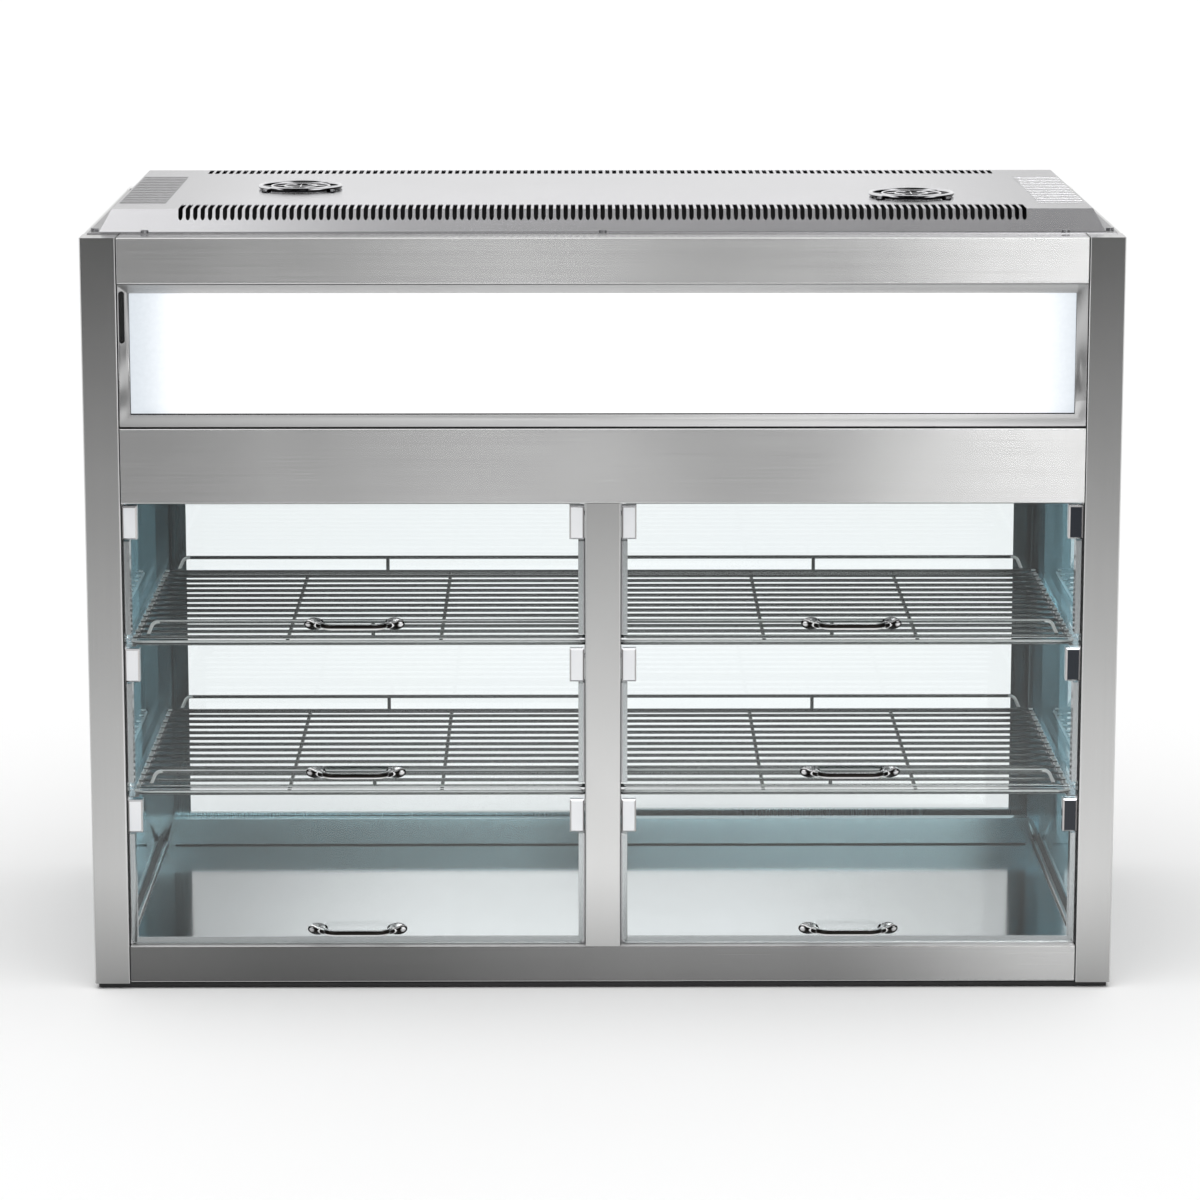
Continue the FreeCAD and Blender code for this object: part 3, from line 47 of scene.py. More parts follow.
# ---------------------------------------------------------------- node helpers
class Mat:
    """A node material with one Principled shader and short calls for its pattern nodes."""

    def __init__(self, name):
        self.m = bpy.data.materials.new(name)
        self.m.use_nodes = True
        self.nt = self.m.node_tree
        self.b = self.nt.nodes["Principled BSDF"]
        self.out = self.nt.nodes["Material Output"]
        self.tc = None

    def node(self, kind, **props):
        n = self.nt.nodes.new(kind)
        for k, v in props.items():
            setattr(n, k, v)
        return n

    def link(self, a, b):
        self.nt.links.new(a, b)

    def set(self, **values):
        for k, v in values.items():
            self.b.inputs[k.replace("_", " ")].default_value = v
        return self

    def coords(self, scale=(1, 1, 1), rot=(0, 0, 0), loc=(0, 0, 0)):
        if self.tc is None:
            self.tc = self.node("ShaderNodeTexCoord")
        mp = self.node("ShaderNodeMapping")
        mp.inputs["Scale"].default_value = scale
        mp.inputs["Rotation"].default_value = rot
        mp.inputs["Location"].default_value = loc
        self.link(self.tc.outputs["Object"], mp.inputs["Vector"])
        return mp.outputs["Vector"]

    def xyz(self):
        s = self.node("ShaderNodeSeparateXYZ")
        self.link(self.coords(), s.inputs[0])
        return s.outputs

    def noise(self, vector, scale=1.0, detail=2.0, rough=0.5, dist=0.0):
        n = self.node("ShaderNodeTexNoise")
        n.inputs["Scale"].default_value = scale
        n.inputs["Detail"].default_value = detail
        n.inputs["Roughness"].default_value = rough
        n.inputs["Distortion"].default_value = dist
        self.link(vector, n.inputs["Vector"])
        return n.outputs["Fac"]

    def math(self, op, a, b=None, clamp=False):
        n = self.node("ShaderNodeMath", operation=op, use_clamp=clamp)
        for i, v in enumerate((a, b)):
            if v is None:
                continue
            if isinstance(v, (int, float)):
                n.inputs[i].default_value = v
            else:
                self.link(v, n.inputs[i])
        return n.outputs[0]

    def span(self, v, a, b, lo, hi, smooth=False):
        n = self.node("ShaderNodeMapRange", clamp=True,
                      interpolation_type="SMOOTHSTEP" if smooth else "LINEAR")
        for i, x in enumerate((a, b, lo, hi)):
            n.inputs[i + 1].default_value = x
        self.link(v, n.inputs[0])
        return n.outputs[0]

    def ramp(self, v, *stops):
        n = self.node("ShaderNodeValToRGB")
        e = n.color_ramp.elements
        while len(e) < len(stops):
            e.new(0.5)
        for el, (pos, col) in zip(e, stops):
            el.position = pos
            el.color = (*col, 1.0)
        self.link(v, n.inputs[0])
        return n.outputs[0]

    def mixc(self, fac, a, b):
        n = self.node("ShaderNodeMix", data_type="RGBA")
        for sock, v in ((n.inputs[0], fac), (n.inputs[6], a), (n.inputs[7], b)):
            if isinstance(v, (int, float)):
                sock.default_value = v
            elif isinstance(v, tuple):
                sock.default_value = (*v, 1.0)
            else:
                self.link(v, sock)
        return n.outputs[2]

    def scale(self, colour, level):
        """The colour times a level that changes over the surface."""
        n = self.node("ShaderNodeVectorMath", operation="SCALE")
        n.inputs[0].default_value = colour
        self.link(level, n.inputs["Scale"])
        return n.outputs[0]

    def normal(self):
        """The surface's own direction, which stays with the part when it moves."""
        if self.tc is None:
            self.tc = self.node("ShaderNodeTexCoord")
        return self.tc.outputs["Normal"]

    def facing(self, axis, edge):
        """1 where the surface looks along the axis, else 0."""
        d = self.node("ShaderNodeVectorMath", operation="DOT_PRODUCT")
        d.inputs[1].default_value = axis
        self.link(self.normal(), d.inputs[0])
        return self.span(d.outputs["Value"], edge, edge + 0.01, 0.0, 1.0)

    def bump(self, height, strength, distance, after=None):
        n = self.node("ShaderNodeBump")
        n.inputs["Strength"].default_value = strength
        n.inputs["Distance"].default_value = distance
        self.link(height, n.inputs["Height"])
        if after is not None:
            self.link(after, n.inputs["Normal"])
        return n.outputs["Normal"]

    def to(self, out, socket):
        self.link(out, self.b.inputs[socket])
        return self


def brushed(name, grain, tone, rough, aniso, turn, contrast=0.025, bump=0.006, cloud=0.04, shade=None, pale_highlight=None, level_sheet=False):
    """Brushed sheet: hair-fine streaks along one axis in colour, roughness and relief, under soft handling clouds.
    shade(k) may return a factor that changes the tone over the part; on most parts it is painted light and shade.
    satin(k) gives a mask of faces made pale and matt as a painted highlight."""
    k = Mat(name)
    k.set(Metallic=1.0, Anisotropic=aniso, Anisotropic_Rotation=turn)
    s1 = tuple(2.2 if g else 420.0 for g in grain)
    s2 = tuple(7.0 if g else 2400.0 for g in grain)
    broad = k.noise(k.coords(s1), 1.0, 3.0, 0.6)
    fine = k.noise(k.coords(s2, loc=(3.1, 1.7, 5.3)), 1.0, 2.0, 0.55)
    soft = k.noise(k.coords((3.4, 3.4, 2.6), loc=(0.3, 7.0, 1.2)), 1.0, 3.0, 0.5, 0.6)
    streak = k.math("ADD", k.math("MULTIPLY", broad, 0.45), k.math("MULTIPLY", fine, 0.55))
    level = k.math("ADD", k.span(streak, 0.3, 0.7, 1.0 - contrast, 1.0 + contrast), k.span(soft, 0.3, 0.7, -cloud, cloud))
    if shade is not None:
        level = k.math("MULTIPLY", level, shade(k))
    colour = k.scale(tone, level)
    # painted highlight: masked faces turn pale grey and mostly non-metallic
    if pale_highlight is not None:
        mask = pale_highlight(k)
        colour = k.mixc(mask, colour, (0.80, 0.80, 0.80))
        k.to(k.span(mask, 0.0, 1.0, 1.0, 0.25), "Metallic")
    k.to(colour, "Base Color")
    k.to(k.math("ADD", k.span(streak, 0.3, 0.7, rough[0], rough[1]), k.span(soft, 0.35, 0.75, 0.0, 0.03)), "Roughness")
    if bump:
        k.to(k.bump(fine, bump, 0.0004), "Normal")
    if level_sheet:   # straight grain along x also on level faces
        t = k.node("ShaderNodeVectorMath", operation="CROSS_PRODUCT")
        t.inputs[1].default_value = (0.0, 0.7071, 0.7071)
        k.link(k.normal(), t.inputs[0])
    else:
        t = k.node("ShaderNodeTangent", direction_type="RADIAL", axis="Z")
    k.link(t.outputs[0], k.b.inputs["Tangent"])
    return k.m


def plated(name, tint, rough, haze=0.04):
    """Bright plating: near mirror with a faint haze, tiny pits and a slow tone drift."""
    k = Mat(name)
    k.set(Metallic=1.0)
    pits = k.noise(k.coords((900, 900, 900)), 1.0, 2.0, 0.6)
    drift = k.noise(k.coords((14, 14, 14)), 1.0, 3.0, 0.5)
    k.to(k.ramp(drift, (0.3, tuple(c * 0.94 for c in tint)), (0.7, tint)), "Base Color")
    k.to(k.math("ADD", k.span(pits, 0.35, 0.75, rough, rough + haze), k.span(drift, 0.4, 0.7, 0.0, haze)), "Roughness")
    k.to(k.bump(pits, 0.02, 0.0001), "Normal")
    return k.m


def banded(name, tint, dark, rough, black, pale=()):
    """Bright plating with soft dark bands of painted reflection and pale matt bands of painted highlight, laid out by
    the surface's direction and place.
    black and pale are lists of groups; a group is a list of (quantity, low edge, high edge, blend) that all have to
    hold.
    Quantities: nx, nz and front (minus ny) of the surface, place ax, y and z, bay (distance from a door's middle), rise
    (height over a rack)."""
    k = Mat(name)
    pits = k.noise(k.coords((900, 900, 900)), 1.0, 2.0, 0.6)
    drift = k.noise(k.coords((14, 14, 14)), 1.0, 3.0, 0.5)
    way = k.node("ShaderNodeSeparateXYZ")
    k.link(k.normal(), way.inputs[0])
    x, y, z = k.xyz()
    ax = k.math("ABSOLUTE", x)
    q = {"nx": way.outputs[0], "front": k.math("MULTIPLY", way.outputs[1], -1.0), "nz": way.outputs[2], "ax": ax, "y": y, "z": z,
         "bay": k.math("ABSOLUTE", k.math("SUBTRACT", ax, 0.338)),
         "rise": k.math("SUBTRACT", k.math("SUBTRACT", z, 0.265), k.math("MULTIPLY", k.math("GREATER_THAN", z, 0.40), 0.211))}

    def mask(groups):
        out = None
        for bands in groups:
            both = None
            for name, lo, hi, soft in bands:
                m = k.math("MULTIPLY", k.span(q[name], lo, lo + soft, 0.0, 1.0), k.span(q[name], hi - soft, hi, 1.0, 0.0))
                both = m if both is None else k.math("MULTIPLY", both, m)
            out = both if out is None else k.math("MAXIMUM", out, both)
        return out

    # painted reflection: the dark bands take the dark colour
    col = k.mixc(mask(black), k.ramp(drift, (0.3, tuple(c * 0.94 for c in tint)), (0.7, tint)), dark)
    if pale:
        # painted highlight: the pale bands turn pale and matt
        m = mask(pale)
        col = k.mixc(m, col, (0.93, 0.93, 0.93))
        k.to(k.span(m, 0.0, 1.0, 1.0, 0.12), "Metallic")
    else:
        k.set(Metallic=1.0)
    k.to(col, "Base Color")
    k.to(k.math("ADD", k.span(pits, 0.35, 0.75, rough, rough + 0.03), k.span(drift, 0.4, 0.7, 0.0, 0.03)), "Roughness")
    k.to(k.bump(pits, 0.02, 0.0001), "Normal")
    return k.m


def moulded(name, low, high, rough, grain=900.0, bump=0.12, coat=0.0, spec=0.5):
    """Moulded plastic or rubber: fine spark-eroded grain with a soft tone drift."""
    k = Mat(name)
    k.set(Coat_Weight=coat, Specular_IOR_Level=spec)
    fine = k.noise(k.coords((grain,) * 3), 1.0, 3.0, 0.6)
    drift = k.noise(k.coords((22, 22, 22)), 1.0, 3.0, 0.55)
    mix = k.math("ADD", k.math("MULTIPLY", fine, 0.45), k.math("MULTIPLY", drift, 0.55))
    k.to(k.ramp(mix, (0.33, low), (0.67, high)), "Base Color")
    k.to(k.span(mix, 0.3, 0.7, rough - 0.06, rough + 0.08), "Roughness")
    k.to(k.bump(fine, bump, 0.0003), "Normal")
    return k.m


def pane(name, tint, absorb, density, grazing=None, ground=False):
    """Clear float glass: faint tint, slight cleaning haze, and a body colour that shows at the edges.
    grazing is the tint of a sheet that is looked at along its face, ground gives matt white upper and lower edges."""
    k = Mat(name)
    k.set(IOR=1.5)
    haze = k.noise(k.coords((3.0, 3.0, 2.2)), 1.0, 4.0, 0.6, 0.8)
    wipe = k.noise(k.coords((60, 60, 8)), 1.0, 3.0, 0.5)
    col = k.ramp(haze, (0.3, tuple(min(1.0, c * 1.01) for c in tint)), (0.75, tint))
    if grazing is not None:
        w = k.node("ShaderNodeLayerWeight")
        w.inputs["Blend"].default_value = 0.5
        col = k.mixc(k.span(w.outputs["Facing"], 0.55, 0.86, 0.0, 1.0, True), col, grazing)
    if ground:
        edge = k.math("MAXIMUM", k.facing((0.0, 0.0, 1.0), 0.8), k.facing((0.0, 0.0, -1.0), 0.8))
        col = k.mixc(edge, col, (0.93, 0.945, 0.95))
        k.to(k.span(edge, 0.0, 1.0, 1.0, 0.1), "Transmission Weight")
    else:
        k.set(Transmission_Weight=1.0)
    k.to(col, "Base Color")
    k.to(k.math("ADD", k.span(haze, 0.5, 0.8, 0.0, 0.004), k.span(wipe, 0.55, 0.8, 0.0, 0.004)), "Roughness")
    v = k.node("ShaderNodeVolumeAbsorption")
    v.inputs["Color"].default_value = (*absorb, 1.0)
    v.inputs["Density"].default_value = density
    k.link(v.outputs[0], k.out.inputs["Volume"])
    return k.m


X_GRAIN, Y_GRAIN, Z_GRAIN = (1, 0, 0), (0, 1, 0), (0, 0, 1)

def rear_shade(foot):
    """Dark uprights, paler foot members below about 0.1 m."""
    return lambda k: k.span(k.xyz()[2], 0.098, 0.106, foot, 1.0)


def post_painted_shade(k):
    """Even front posts; the rear pair carries painted shade and light, darker towards the ground and brighter towards
    the top.
    """
    x, y, z = k.xyz()
    rear = k.span(y, 0.20, 0.21, 0.0, 1.0)
    # painted shade rising to painted light: 0.40 of the tone near the ground, 1.45 from about half height
    painted_shade_rise = k.span(z, 0.08, 0.55, 0.40, 1.45, True)
    return k.math("ADD", k.math("MULTIPLY", rear, painted_shade_rise), k.math("SUBTRACT", 1.0, rear))


def rail_painted_light(k):
    """Painted reflection along the front rails: slow light and dark changes from left to right, the top rail brighter
    at its left end and the middle rail darker over its inner stretch.
    """
    x, y, z = k.xyz()
    drift = k.math("ADD", k.span(x, -0.60, -0.18, 0.98, 1.10, True), k.math("ADD", k.span(x, -0.05, 0.18, 0.0, -0.21, True), k.span(x, 0.30, 0.62, 0.0, 0.36, True)))
    top = k.span(z, 0.86, 0.87, 0.0, 1.0)
    upper = k.span(x, -0.50, -0.34, 1.21, 1.02, True)
    middle = k.math("ADD", k.span(x, -0.46, -0.38, 1.0, 0.89, True), k.span(x, 0.24, 0.40, 0.0, 0.12, True))
    own = k.math("ADD", k.math("MULTIPLY", top, upper), k.math("MULTIPLY", k.math("SUBTRACT", 1.0, top), middle))
    return k.math("MULTIPLY", drift, own)


def sill_painted_shade(k):
    """Painted shade and reflection on the bottom rail: dark on the left, brightening towards the right."""
    x, y, z = k.xyz()
    left = k.math("ADD", k.span(x, -0.66, -0.42, 0.10, 0.0, True), k.span(x, -0.30, 0.04, 0.32, 0.45, True))
    return k.math("ADD", left, k.span(x, 0.26, 0.66, 0.0, 0.46, True))


def rail_painted_highlight(k):
    """Painted highlight: pale matt rounded upper and lower edges of the front rails."""
    return k.math("MAXIMUM", k.facing((0.0, -0.7071, 0.7071), 0.88), k.facing((0.0, -0.7071, -0.7071), 0.92))


def post_painted_highlight(k):
    """Painted highlight: pale matt rounded inner and outer edges of the posts."""
    return k.math("MULTIPLY", k.math("MAXIMUM", k.facing((0.7071, -0.7071, 0.0), 0.94), k.facing((-0.7071, -0.7071, 0.0), 0.94)), 0.75)


def cover_painted_light(k):
    """Cover with painted reflection and shade: even in the middle, greyer at both ends of the flat, on the louvre
    ridges and on the narrow flange; the front slope darkens to the right.
    """
    x, y, z = k.xyz()
    flat = k.facing((0.0, 0.0, 1.0), 0.95)
    ends = k.math("MULTIPLY", k.span(x, -0.67, -0.40, 0.70, 1.0, True), k.span(x, 0.34, 0.66, 1.0, 0.66, True))
    ends = k.math("ADD", k.math("MULTIPLY", flat, ends), k.math("SUBTRACT", 1.0, flat))
    ridge = k.math("MULTIPLY", k.span(z, 1.0702, 1.0706, 1.0, 0.68), k.span(z, 1.0404, 1.0410, 0.52, 1.0))
    lean = k.math("MULTIPLY", k.math("SUBTRACT", 1.0, flat), k.span(y, -0.20, -0.19, 1.0, 0.0))
    run = k.math("MULTIPLY", k.span(x, -0.55, -0.25, 1.12, 0.865, True), k.span(x, -0.20, 0.60, 1.0, 0.90))
    slope = k.math("ADD", k.math("MULTIPLY", lean, run), k.math("SUBTRACT", 1.0, lean))
    return k.math("MULTIPLY", k.math("MULTIPLY", ends, ridge), slope)


def bezel_painted_light(k):
    """Light surround with painted reflection: the lower slope brightens from left to right, the upright sides are
    painted darker.
    """
    x, y, z = k.xyz()
    low = k.facing((0.0, 0.0, 1.0), 0.45)
    run = k.math("SUBTRACT", k.span(x, -0.64, 0.30, 0.72, 1.30), k.span(x, 0.45, 0.64, 0.0, 0.22, True))
    ends = k.math("MAXIMUM", k.span(x, -0.638, -0.636, 1.0, 0.0), k.span(x, 0.636, 0.638, 0.0, 1.0))
    rest = k.math("SUBTRACT", 1.0, k.math("MULTIPLY", ends, 0.22))
    return k.math("ADD", k.math("MULTIPLY", low, run), k.math("MULTIPLY", k.math("SUBTRACT", 1.0, low), rest))


def sill_painted_highlight(k):
    """Painted highlight: pale matt top face and lower edge of the bottom rail."""
    return k.math("MAXIMUM", k.facing((0.0, 0.0, 1.0), 0.86), k.facing((0.0, -0.7071, -0.7071), 0.90))


def tray_painted_shade(k):
    """Floor plate with painted reflection and shade: bright in the middle of the front, darker at both ends and under
    the rear doors.
    """
    x, y, z = k.xyz()
    ends = k.math("MULTIPLY", k.span(x, -0.60, -0.22, 0.42, 1.0, True), k.span(x, 0.16, 0.58, 1.0, 0.50, True))
    deep = k.math("MULTIPLY", k.span(y, -0.24, 0.09, 1.0, 0.74), k.span(y, 0.085, 0.108, 1.0, 0.38, True))
    return k.math("MULTIPLY", ends, deep)


def clamps(name):
    """Hinge clamps: bright semi-matt faces inside mirror bevels; the faces at the right-hand posts are painted near
    black as a dark reflection.
    """
    k = Mat(name)
    front = k.facing((0.0, -1.0, 0.0), 0.97)
    # painted reflection: front faces at the right-hand posts are coloured near black
    right = k.span(k.xyz()[0], 0.60, 0.61, 0.0, 1.0)
    drift = k.noise(k.coords((16, 16, 16)), 1.0, 3.0, 0.5)
    pits = k.noise(k.coords((1100, 1100, 1100)), 1.0, 2.0, 0.6)
    face = k.mixc(right, k.ramp(drift, (0.3, (0.80, 0.815, 0.84)), (0.7, (0.88, 0.89, 0.905))), (0.016, 0.02, 0.028))
    side = k.math("MAXIMUM", k.facing((-0.7071, -0.7071, 0.0), 0.93), k.facing((0.7071, -0.7071, 0.0), 0.93))
    edge = k.mixc(side, (0.88, 0.88, 0.90), (0.70, 0.68, 0.68))
    k.to(k.mixc(front, edge, face), "Base Color")
    k.to(k.span(k.math("MAXIMUM", k.math("MULTIPLY", side, 0.75), k.math("MULTIPLY", front, k.span(drift, 0.0, 1.0, 0.97, 1.0))), 0.0, 1.0, 1.0, 0.12), "Metallic")
    k.to(k.math("ADD", k.span(pits, 0.35, 0.75, 0.04, 0.09), k.math("MULTIPLY", front, 0.10)), "Roughness")
    k.to(k.bump(pits, 0.015, 0.0001), "Normal")
    return k.m


M = {}
M["steel_v"] = brushed("steel_v", Z_GRAIN, (0.62, 0.62, 0.615), (0.15, 0.20), 0.9, 0.0, shade=post_painted_shade, pale_highlight=post_painted_highlight)
M["steel_h"] = brushed("steel_h", X_GRAIN, (0.60, 0.60, 0.598), (0.20, 0.26), 0.95, 0.25, 0.05, 0.002, shade=rail_painted_light, pale_highlight=rail_painted_highlight)
M["steel_low"] = brushed("steel_low", X_GRAIN, (0.60, 0.60, 0.598), (0.20, 0.26), 0.95, 0.25, 0.05, 0.002, shade=sill_painted_shade, pale_highlight=sill_painted_highlight)
M["steel_d"] = brushed("steel_d", Y_GRAIN, (0.60, 0.60, 0.595), (0.24, 0.32), 0.7, 0.25)
M["floor_steel"] = brushed("floor_steel", X_GRAIN, (0.80, 0.805, 0.81), (0.07, 0.11), 0.2, 0.0, 0.02, 0.0, 0.03, tray_painted_shade)
# painted shade: the ceiling sheet is toned dark so the rack wires below mirror a dark ceiling
M["ceiling_steel"] = brushed("ceiling_steel", X_GRAIN, (0.16, 0.165, 0.17), (0.3, 0.4), 0.3, 0.0, 0.06, 0.01)
M["stop_steel"] = brushed("stop_steel", Z_GRAIN, (0.50, 0.50, 0.51), (0.14, 0.2), 0.3, 0.0, 0.03, 0.0)
M["trim_steel"] = brushed("trim_steel", Z_GRAIN, (0.085, 0.118, 0.128), (0.16, 0.22), 0.2, 0.0, 0.04, 0.0, 0.05, rear_shade(2.9))
M["bezel_steel"] = brushed("bezel_steel", X_GRAIN, (0.62, 0.62, 0.62), (0.26, 0.32), 0.6, 0.25, 0.02, 0.002, shade=bezel_painted_light)
M["cover_steel"] = brushed("cover_steel", X_GRAIN, (0.755, 0.752, 0.770), (0.17, 0.22), 0.8, 0.25, 0.018, 0.004, shade=cover_painted_light, level_sheet=True)
M["aluminium"] = brushed("aluminium", X_GRAIN, (0.52, 0.54, 0.56), (0.3, 0.4), 0.4, 0.25)
M["slide_alu"] = brushed("slide_alu", Z_GRAIN, (0.055, 0.078, 0.084), (0.2, 0.28), 0.2, 0.0, 0.04, 0.0, 0.05, rear_shade(5.4))
M["side_glass"] = pane("side_glass", (0.93, 0.975, 0.97), (0.45, 0.86, 0.80), 6.0, (0.15, 0.52, 0.74))
M["door_glass"] = pane("door_glass", (0.975, 0.992, 0.992), (0.45, 0.86, 0.80), 6.0, None, True)
M["rear_glass"] = pane("rear_glass", (0.972, 0.985, 1.0), (0.45, 0.80, 0.86), 6.0)
M["bead"] = moulded("bead", (0.012, 0.012, 0.013), (0.026, 0.026, 0.028), 0.5)
M["rubber"] = moulded("rubber", (0.014, 0.014, 0.015), (0.03, 0.03, 0.031), 0.62, 700, 0.2)
M["black_plastic"] = moulded("black_plastic", (0.010, 0.010, 0.011), (0.022, 0.022, 0.024), 0.42)
M["knob"] = moulded("knob", (0.012, 0.012, 0.013), (0.028, 0.028, 0.03), 0.38)
M["gland"] = moulded("gland", (0.018, 0.018, 0.02), (0.034, 0.034, 0.036), 0.48)
M["switch"] = moulded("switch", (0.30, 0.012, 0.012), (0.42, 0.02, 0.018), 0.22, 600, 0.03, 0.5)
M["chrome"] = plated("chrome", (0.80, 0.81, 0.83), 0.05)
M["clamp_chrome"] = clamps("clamp_chrome")
# painted reflection and highlight on the pulls: a dark band over most of the bar's face and dark rings on the feet's
# sloped faces, pale under the bar and on the feet's fronts
M["handle_chrome"] = banded("handle_chrome", (0.90, 0.90, 0.91), (0.020, 0.018, 0.016), 0.035,
                            [[("bay", -1.0, 0.046, 0.002), ("nz", -0.34, 0.86, 0.08)],
                             [("bay", 0.044, 1.0, 0.002), ("front", 0.22, 0.84, 0.06), ("nz", -1.2, 0.62, 0.12)]],
                            [[("bay", -1.0, 0.046, 0.002), ("nz", -1.0, -0.40, 0.06)],
                             [("bay", 0.050, 1.0, 0.002), ("front", 0.90, 1.5, 0.04)]])
# painted reflection and highlight on the racks: dark wire fronts; pale tops on the side frame wires, the front wire and
# the raised rails, and pale fronts on the raised ends
M["rack_chrome"] = banded("rack_chrome", (0.50, 0.51, 0.505), (0.060, 0.068, 0.068), 0.05,
                          [[("nz", -0.45, 0.66, 0.14), ("front", 0.25, 1.5, 0.12)]],
                          [[("ax", 0.6385, 1.0, 0.001), ("nz", 0.12, 1.5, 0.15)],
                           [("y", -1.0, -0.2865, 0.001), ("nz", 0.20, 0.97, 0.10)],
                           [("rise", 0.009, 0.1, 0.001), ("y", -1.0, 0.0, 0.001), ("nz", 0.25, 1.5, 0.15)],
                           [("rise", 0.009, 0.1, 0.001), ("ax", 0.607, 1.0, 0.002), ("front", 0.45, 1.5, 0.15)]])
# painted reflection and shadow on the fan guards: dark bands on the front of the rim, and everything lower than 1.0721
# m black as the shade under the guard
M["guard_chrome"] = banded("guard_chrome", (0.80, 0.80, 0.82), (0.012, 0.012, 0.013), 0.045,
                           [[("nz", -1.5, 0.74, 0.10), ("front", 0.25, 1.5, 0.2), ("nx", -0.48, 0.36, 0.14)],
                            [("nz", -1.5, 0.50, 0.10), ("front", 0.10, 1.5, 0.1), ("nx", 0.55, 1.5, 0.10)],
                            [("nz", -1.5, 0.05, 0.10), ("front", 0.10, 1.5, 0.1)],
                            [("z", 0.0, 1.0721, 0.0003)]])
M["screw"] = plated("screw", (0.30, 0.30, 0.31), 0.16, 0.08)
M["heater"] = moulded("heater", (0.10, 0.095, 0.09), (0.20, 0.19, 0.18), 0.5)


def galvanised():
    k = Mat("galvanised")
    k.set(Metallic=0.9)
    v = k.node("ShaderNodeTexVoronoi", feature="F1")
    v.inputs["Scale"].default_value = 1.0
    k.link(k.coords((55, 55, 55)), v.inputs["Vector"])
    sp = k.node("ShaderNodeSeparateColor")
    k.link(v.outputs["Color"], sp.inputs[0])
    k.to(k.ramp(sp.outputs[0], (0.1, (0.42, 0.44, 0.45)), (0.9, (0.60, 0.62, 0.63))), "Base Color")
    k.to(k.span(sp.outputs[1], 0.0, 1.0, 0.34, 0.55), "Roughness")
    return k.m


def opal():
    """Lit opal sheet: even white with a cool falloff towards both ends, as with lamps that stop short of them."""
    k = Mat("opal")
    k.set(Roughness=0.3, Specular_IOR_Level=0.2)
    x, y, z = k.xyz()
    left = k.span(x, -0.632, -0.556, 1.0, 0.0, True)
    right = k.span(x, 0.566, 0.655, 0.0, 1.0, True)
    foot = k.span(z, 0.795, 0.815, 0.35, 0.0, True)
    end = k.math("MAXIMUM", left, right)
    fine = k.noise(k.coords((160, 160, 160)), 1.0, 3.0, 0.5)
    dim = k.math("ADD", end, k.math("MULTIPLY", k.math("MULTIPLY", foot, end), 0.5), True)
    col = k.ramp(dim, (0.0, (1.0, 1.0, 1.0)), (0.5, (0.90, 0.945, 0.99)), (1.0, (0.80, 0.865, 0.925)))
    k.to(k.ramp(fine, (0.3, (0.13, 0.13, 0.135)), (0.7, (0.15, 0.15, 0.155))), "Base Color")
    k.to(col, "Emission Color")
    k.to(k.math("ADD", k.span(dim, 0.0, 1.0, 1.03, 0.80), k.span(fine, 0.3, 0.7, -0.01, 0.01)), "Emission Strength")
    return k.m


def enamel(name, low, high, rough):
    k = Mat(name)
    peel = k.noise(k.coords((420, 420, 420)), 1.0, 2.0, 0.5)
    drift = k.noise(k.coords((9, 9, 9)), 1.0, 3.0, 0.5)
    k.to(k.ramp(drift, (0.3, low), (0.7, high)), "Base Color")
    k.to(k.span(peel, 0.3, 0.7, rough, rough + 0.1), "Roughness")
    k.to(k.bump(peel, 0.06, 0.0004), "Normal")
    return k.m


def lamp():
    k = Mat("lamp")
    fine = k.noise(k.coords((220, 220, 220)), 1.0, 2.0, 0.5)
    k.to(k.ramp(fine, (0.3, (0.94, 0.94, 0.90)), (0.7, (1.0, 1.0, 0.97))), "Base Color")
    k.to(k.span(fine, 0.3, 0.7, 0.25, 0.4), "Roughness")
    k.to(k.ramp(fine, (0.3, (1.0, 0.99, 0.95)), (0.7, (1.0, 1.0, 0.98))), "Emission Color")
    k.set(Emission_Strength=1.5)
    return k.m


M["galvanised"] = galvanised()
M["opal"] = opal()
M["white_paint"] = enamel("white_paint", (0.80, 0.80, 0.80), (0.88, 0.88, 0.88), 0.35)
M["lamp"] = lamp()

for n, o in NODES.items():
    for s in o.material_slots:
        name = s.material.name.split(".")[0]
        s.material = M["steel_low" if n == "front_bottom_rail" else name]

# ---------------------------------------------------------------- edge rounding of the sheet, bar and moulded parts
ROUND = {
    "corner_posts": 0.0009, "centre_posts": 0.0009,
    "front_bottom_rail": 0.0009, "front_mid_rail": 0.0009, "front_top_rail": 0.0009,
    "rear_bottom_rail": 0.0007, "rear_top_track": 0.0005, "side_rails": 0.0009, "side_header_panels": 0.0008,
    "floor_plate": 0.0006, "base_pan": 0.0006, "ceiling_panel": 0.0005, "door_stops": 0.0004, "rear_trim": 0.0006,
    "light_bezel": 0.0006, "light_diffuser": 0.0004, "light_reflector": 0.0005, "lamp_bars": 0.0006,
    "rack_runners": 0.0005, "side_glass_panels": 0.0006, "glazing_seals": 0.0003,
    "rear_left_door_frame": 0.0007, "rear_right_door_frame": 0.0007, "rear_left_door_glass": 0.0005, "rear_right_door_glass": 0.0005,
    "power_supply": 0.0006,
}
for n, w in ROUND.items():
    o = NODES[n]
    weld = o.modifiers.new("weld", "WELD")
    weld.merge_threshold = 0.00002
    bv = o.modifiers.new("bevel", "BEVEL")
    bv.width = w
    bv.segments = 2
    bv.limit_method = "ANGLE"
    bv.angle_limit = math.radians(38)
    bv.use_clamp_overlap = True
    wn = o.modifiers.new("wn", "WEIGHTED_NORMAL")
    wn.weight = 60

